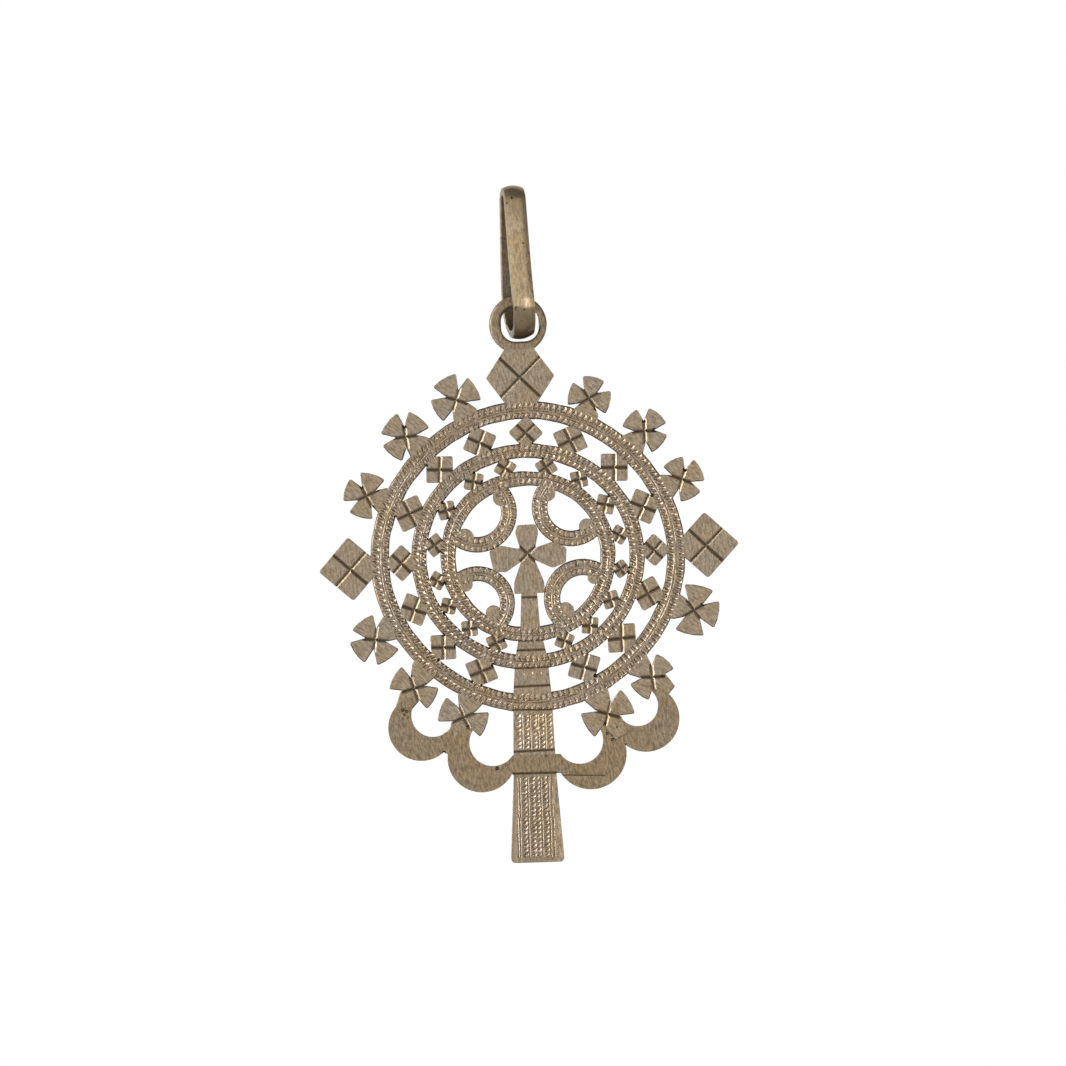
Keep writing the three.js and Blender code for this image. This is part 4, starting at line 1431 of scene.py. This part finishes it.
def make_metal(
        material, turn, light=1.0, roughness=0.42, depth=0.008, wall_patina_and_shade=0.0, deep_dirt_and_shade=0.0, underside_shade=0.0,
        dulling_and_shade=None, tint=(1, 1, 1)):
    """Fills a finish with nodes. Three numbers say how much darker the sawn walls, the depths of cuts
    and the undersides are painted: wax, dirt and painted shade on walls, dirt and painted shade in
    depths, painted shade below.

    The height range gives where a duller stretch begins, where it is whole, and how dull: on the foot
    it is handled wear, on the top of the ring painted shade.
    """
    material.use_nodes = True
    tree = material.node_tree
    principled = tree.nodes["Principled BSDF"]
    principled.inputs["Metallic"].default_value = 1.0
    where = add(tree, "ShaderNodeTexCoord")
    place = where.outputs["Object"]
    streaks = use(tree, grain, Vector=place)
    streaks.inputs["Turn"].default_value = (0, math.radians(turn), 0)
    tarnish = use(tree, patina, Vector=place)
    pale, warm, dull, dark = (
        tuple(part * light * share for part, share in zip(colour, tint))
        for colour in (PALE, WARM, DULL, DARK))
    colour = blend(tree, tarnish.outputs["Cloud"], pale, warm)
    height = streaks.outputs["Height"]
    streaky = grade(tree, height, STREAK_FROM, STREAK_TO, 0.0, STREAK_MOST)
    colour = blend(tree, streaky, colour, dull)
    speckled = times(tree, tarnish.outputs["Speckle"], SPECKLE_SHARE)
    colour = blend(tree, speckled, colour, dull)
    # Sawn walls are painted darker: old wax and dirt, and painted shade.
    if wall_patina_and_shade:
        shaded_wall = use(tree, sides, Normal=where.outputs["Normal"])
        colour = blend(tree, times(tree, shaded_wall.outputs["Mask"], wall_patina_and_shade), colour, dark)
    # Deep parts of cuts are painted darker: dirt and painted shade.
    if deep_dirt_and_shade:
        deep_shade_mask = grade(tree, one_part(tree, place, "Y"), GROOVE_RIM, GROOVE_FLOOR, 0.0, deep_dirt_and_shade)
        colour = blend(tree, deep_shade_mask, colour, dark)
    # Surfaces that face down get painted shade.
    if underside_shade:
        down = one_part(tree, where.outputs["Normal"], "Z")
        colour = blend(tree, grade(tree, down, UNDER_FROM, UNDER_TO, 0.0, underside_shade), colour, dark)
    if dulling_and_shade:
        begins, whole, most = dulling_and_shade
        stretch = grade(tree, one_part(tree, place, "Z"), begins * MM, whole * MM, 0.0, most)
        colour = blend(tree, stretch, colour, dull)
    link(tree, colour, principled.inputs["Base Color"])
    rough = grade(tree, height, 0.3, 0.7, roughness + SMOOTHER, roughness + ROUGHER)
    link(tree, rough, principled.inputs["Roughness"])
    relief = plus(tree, height, speckled)
    bump = add(tree, "ShaderNodeBump")
    bump.inputs["Strength"].default_value = 1.0
    bump.inputs["Distance"].default_value = depth * MM
    link(tree, relief, bump.inputs["Height"])
    link(tree, bump.outputs["Normal"], principled.inputs["Normal"])
    return material


FOOT_DULLED = (-74, -75.5)  # the foot is handled most, so it is browner than the rest
# The top of the ring is painted darker: painted shade, for the dimmer light from above.
RING_TOP_SHADE = (-4.2, 0)  # the top of the ring is duller than its legs
# The numbers for sawn walls and for depths paint them darker: old wax and dirt, and painted shade.
make_metal(finishes[FILED], 4, light=0.95, depth=0.014, wall_patina_and_shade=0.85, dulling_and_shade=(*FOOT_DULLED, 0.25))
make_metal(finishes[SLANTED], 50, light=0.95, depth=0.014, wall_patina_and_shade=0.85)
make_metal(
    finishes[CUT], 20, light=1.15, roughness=0.38, depth=0.004, deep_dirt_and_shade=0.7,
    dulling_and_shade=(*FOOT_DULLED, 0.25))
make_metal(
    finishes[STRUCK], 20, light=1.46, roughness=0.4, depth=0.006, deep_dirt_and_shade=0.3,
    dulling_and_shade=(*FOOT_DULLED, 0.4), tint=(0.97, 1, 1.07))
# Near black: old dirt, and painted shade in the nicks, the corners between the lobes and under edges
# that look down.
make_metal(finishes[DIRT_AND_SHADE], 0, light=0.2, roughness=0.6)
make_metal(finishes[CAST], 10, light=0.83, roughness=0.55, depth=0.02, tint=(1.02, 0.99, 0.91))
# The ring's outside gets painted shade on its underside and on its top.
for index, name, settings in (
        (FILED, "ring_worn_and_shaded", {
            "light": 1.5, "roughness": 0.34, "underside_shade": 0.85, "dulling_and_shade": (*RING_TOP_SHADE, 0.75),
            "tint": (1.04, 1, 0.86)}),
        (SLANTED, "ring_inside", {"light": 0.68, "roughness": 0.5, "depth": 0.03}),
        (CUT, "ring_pits", {"light": 0.35, "roughness": 0.5})):
    material = bpy.data.materials.new(name)
    ring.data.materials[index] = make_metal(material, 4, **settings)
print("finishes:", [material.name for material in [*cross.data.materials, *ring.data.materials]])

# %% [markdown]
# ## The place
# The cross hangs free against white. A large backdrop stands far behind it, so that there is room
# to walk round the object, and a pale floor lies far below. Both show white to the camera and to
# mirror-like rays, but light nothing. The floor does so only farther out, and keeps its shading
# under the object. The world is white to the camera too, and a dim grey to all else.

# %% Floor, backdrop and world
STAGE_SIZE = 8.0
FLOOR_HEIGHT, BACKDROP_AWAY = -0.3, 2.0
SHADED_TO, WHITE_FROM = 0.1, 0.8  # distances on the floor from below the object
LEAST_WHITE = 0.6  # how white the floor shows right below the object
WORLD_GREY = 0.27
PALE_GREY = (0.8, 0.8, 0.8, 1)
WHITE = (1.0, 1.0, 1.0)


def shown_white(tree):
    """1 for rays from the camera and for mirrored or refracted ones, 0 for all other rays."""
    rays = add(tree, "ShaderNodeLightPath")
    seen = plus(tree, rays.outputs["Is Camera Ray"], rays.outputs["Is Glossy Ray"])
    return grade(tree, plus(tree, seen, rays.outputs["Is Transmission Ray"]), 0, 1)


def flat_stage(name, place, turn):
    """A large pale plane with a white glow mixed in. Returns its nodes and the glow's share."""
    bpy.ops.mesh.primitive_plane_add(size=STAGE_SIZE, location=place, rotation=turn)
    plane = settle(new_piece(name))
    plane.data.materials.clear()
    material = bpy.data.materials.new(name)
    material.use_nodes = True
    tree = material.node_tree
    paint = tree.nodes["Principled BSDF"]
    paint.inputs["Base Color"].default_value = PALE_GREY
    paint.inputs["Roughness"].default_value = 0.9
    glow = add(tree, "ShaderNodeEmission", input_Strength=1.0)
    shown = add(tree, "ShaderNodeMixShader")
    link(tree, paint.outputs[0], shown.inputs[1])
    link(tree, glow.outputs[0], shown.inputs[2])
    link(tree, shown.outputs[0], tree.nodes["Material Output"].inputs["Surface"])
    plane.data.materials.append(material)
    return tree, shown.inputs["Fac"]


tree, share = flat_stage("backdrop", (0, BACKDROP_AWAY, 0), (math.radians(90), 0, 0))
link(tree, shown_white(tree), share)
tree, share = flat_stage("floor", (0, 0, FLOOR_HEIGHT), (0, 0, 0))
spot = add(tree, "ShaderNodeVectorMath", operation="DISTANCE")
spot.inputs[1].default_value = (0, 0, FLOOR_HEIGHT)
link(tree, add(tree, "ShaderNodeTexCoord").outputs["Object"], spot.inputs[0])
whiter = grade(tree, spot.outputs["Value"], SHADED_TO, WHITE_FROM, LEAST_WHITE, 1.0)
link(tree, times(tree, shown_white(tree), whiter), share)

world = bpy.data.worlds.new("studio")
world.use_nodes = True
tree = world.node_tree
camera_rays = add(tree, "ShaderNodeLightPath").outputs["Is Camera Ray"]
grey = (WORLD_GREY, WORLD_GREY, WORLD_GREY)
link(tree, blend(tree, camera_rays, grey, WHITE), tree.nodes["Background"].inputs["Color"])
bpy.context.scene.world = world
print("the floor lies", abs(FLOOR_HEIGHT), "m below, the backdrop stands", BACKDROP_AWAY, "m behind")

# %% [markdown]
# ## Light and camera
# In the photograph the steep grooves are bright and the flat ones dark, which says that the main
# light is wide and comes from the left. A large lamp in front lights the flat faces, and a small
# one on the right the walls that the main light leaves dark. The camera looks straight at the
# front, and is turned by two and a half degrees, because the cross hangs askew in the picture.

# %% Light and camera
MIDDLE = PLATE_PLACE * MM
CAMERA_ROLL = 2.5  # in degrees
CAMERA_AWAY = 0.8
CAMERA_RIGHT, CAMERA_UP = 0.65, 3.055  # millimetres from the middle of the bands
VIEW_WIDTH = 0.13858  # what the picture takes in at the cross
SENSOR = 36


def soft_light(name, place, width, height, energy):
    """A soft box that looks at the middle of the cross."""
    bpy.ops.object.light_add(type="AREA", location=MIDDLE + Vector(place))
    light = bpy.context.object
    light.name = name
    light.data.shape = "RECTANGLE"
    light.data.size = width
    light.data.size_y = height
    light.data.energy = energy
    light.rotation_euler = (-Vector(place)).to_track_quat("-Z", "Y").to_euler()
    print(name, "light", round(Vector(place).length, 2), "m away")


soft_light("key", (-0.625, -0.27, 0.11), 0.45, 0.9, 9.6)
soft_light("front", (-0.05, -1.2, 0.1), 1.1, 1.1, 3.35)
soft_light("right", (0.45, -0.6, 0.05), 0.36, 0.36, 1.45)

roll = math.radians(CAMERA_ROLL)
right = Vector((math.cos(roll), 0, -math.sin(roll)))
up = Vector((math.sin(roll), 0, math.cos(roll)))
back = Vector((0, -1, 0))
bpy.ops.object.camera_add()
camera = bpy.context.object
camera.name = "camera"
camera.rotation_euler = Matrix((right, up, back)).transposed().to_euler()
camera.location = MIDDLE + (right * CAMERA_RIGHT + up * CAMERA_UP) * MM + back * CAMERA_AWAY
camera.data.sensor_width = SENSOR
camera.data.lens = SENSOR * CAMERA_AWAY / VIEW_WIDTH
camera.data.clip_end = 20
bpy.context.scene.camera = camera
bpy.context.scene.view_settings.view_transform = "Standard"

# %% [markdown]
# ## End
# Both boxes were printed side by side above, to show that the visual model stays inside the imported
# one.

# %% Finish
print("the pieces are set in their place")
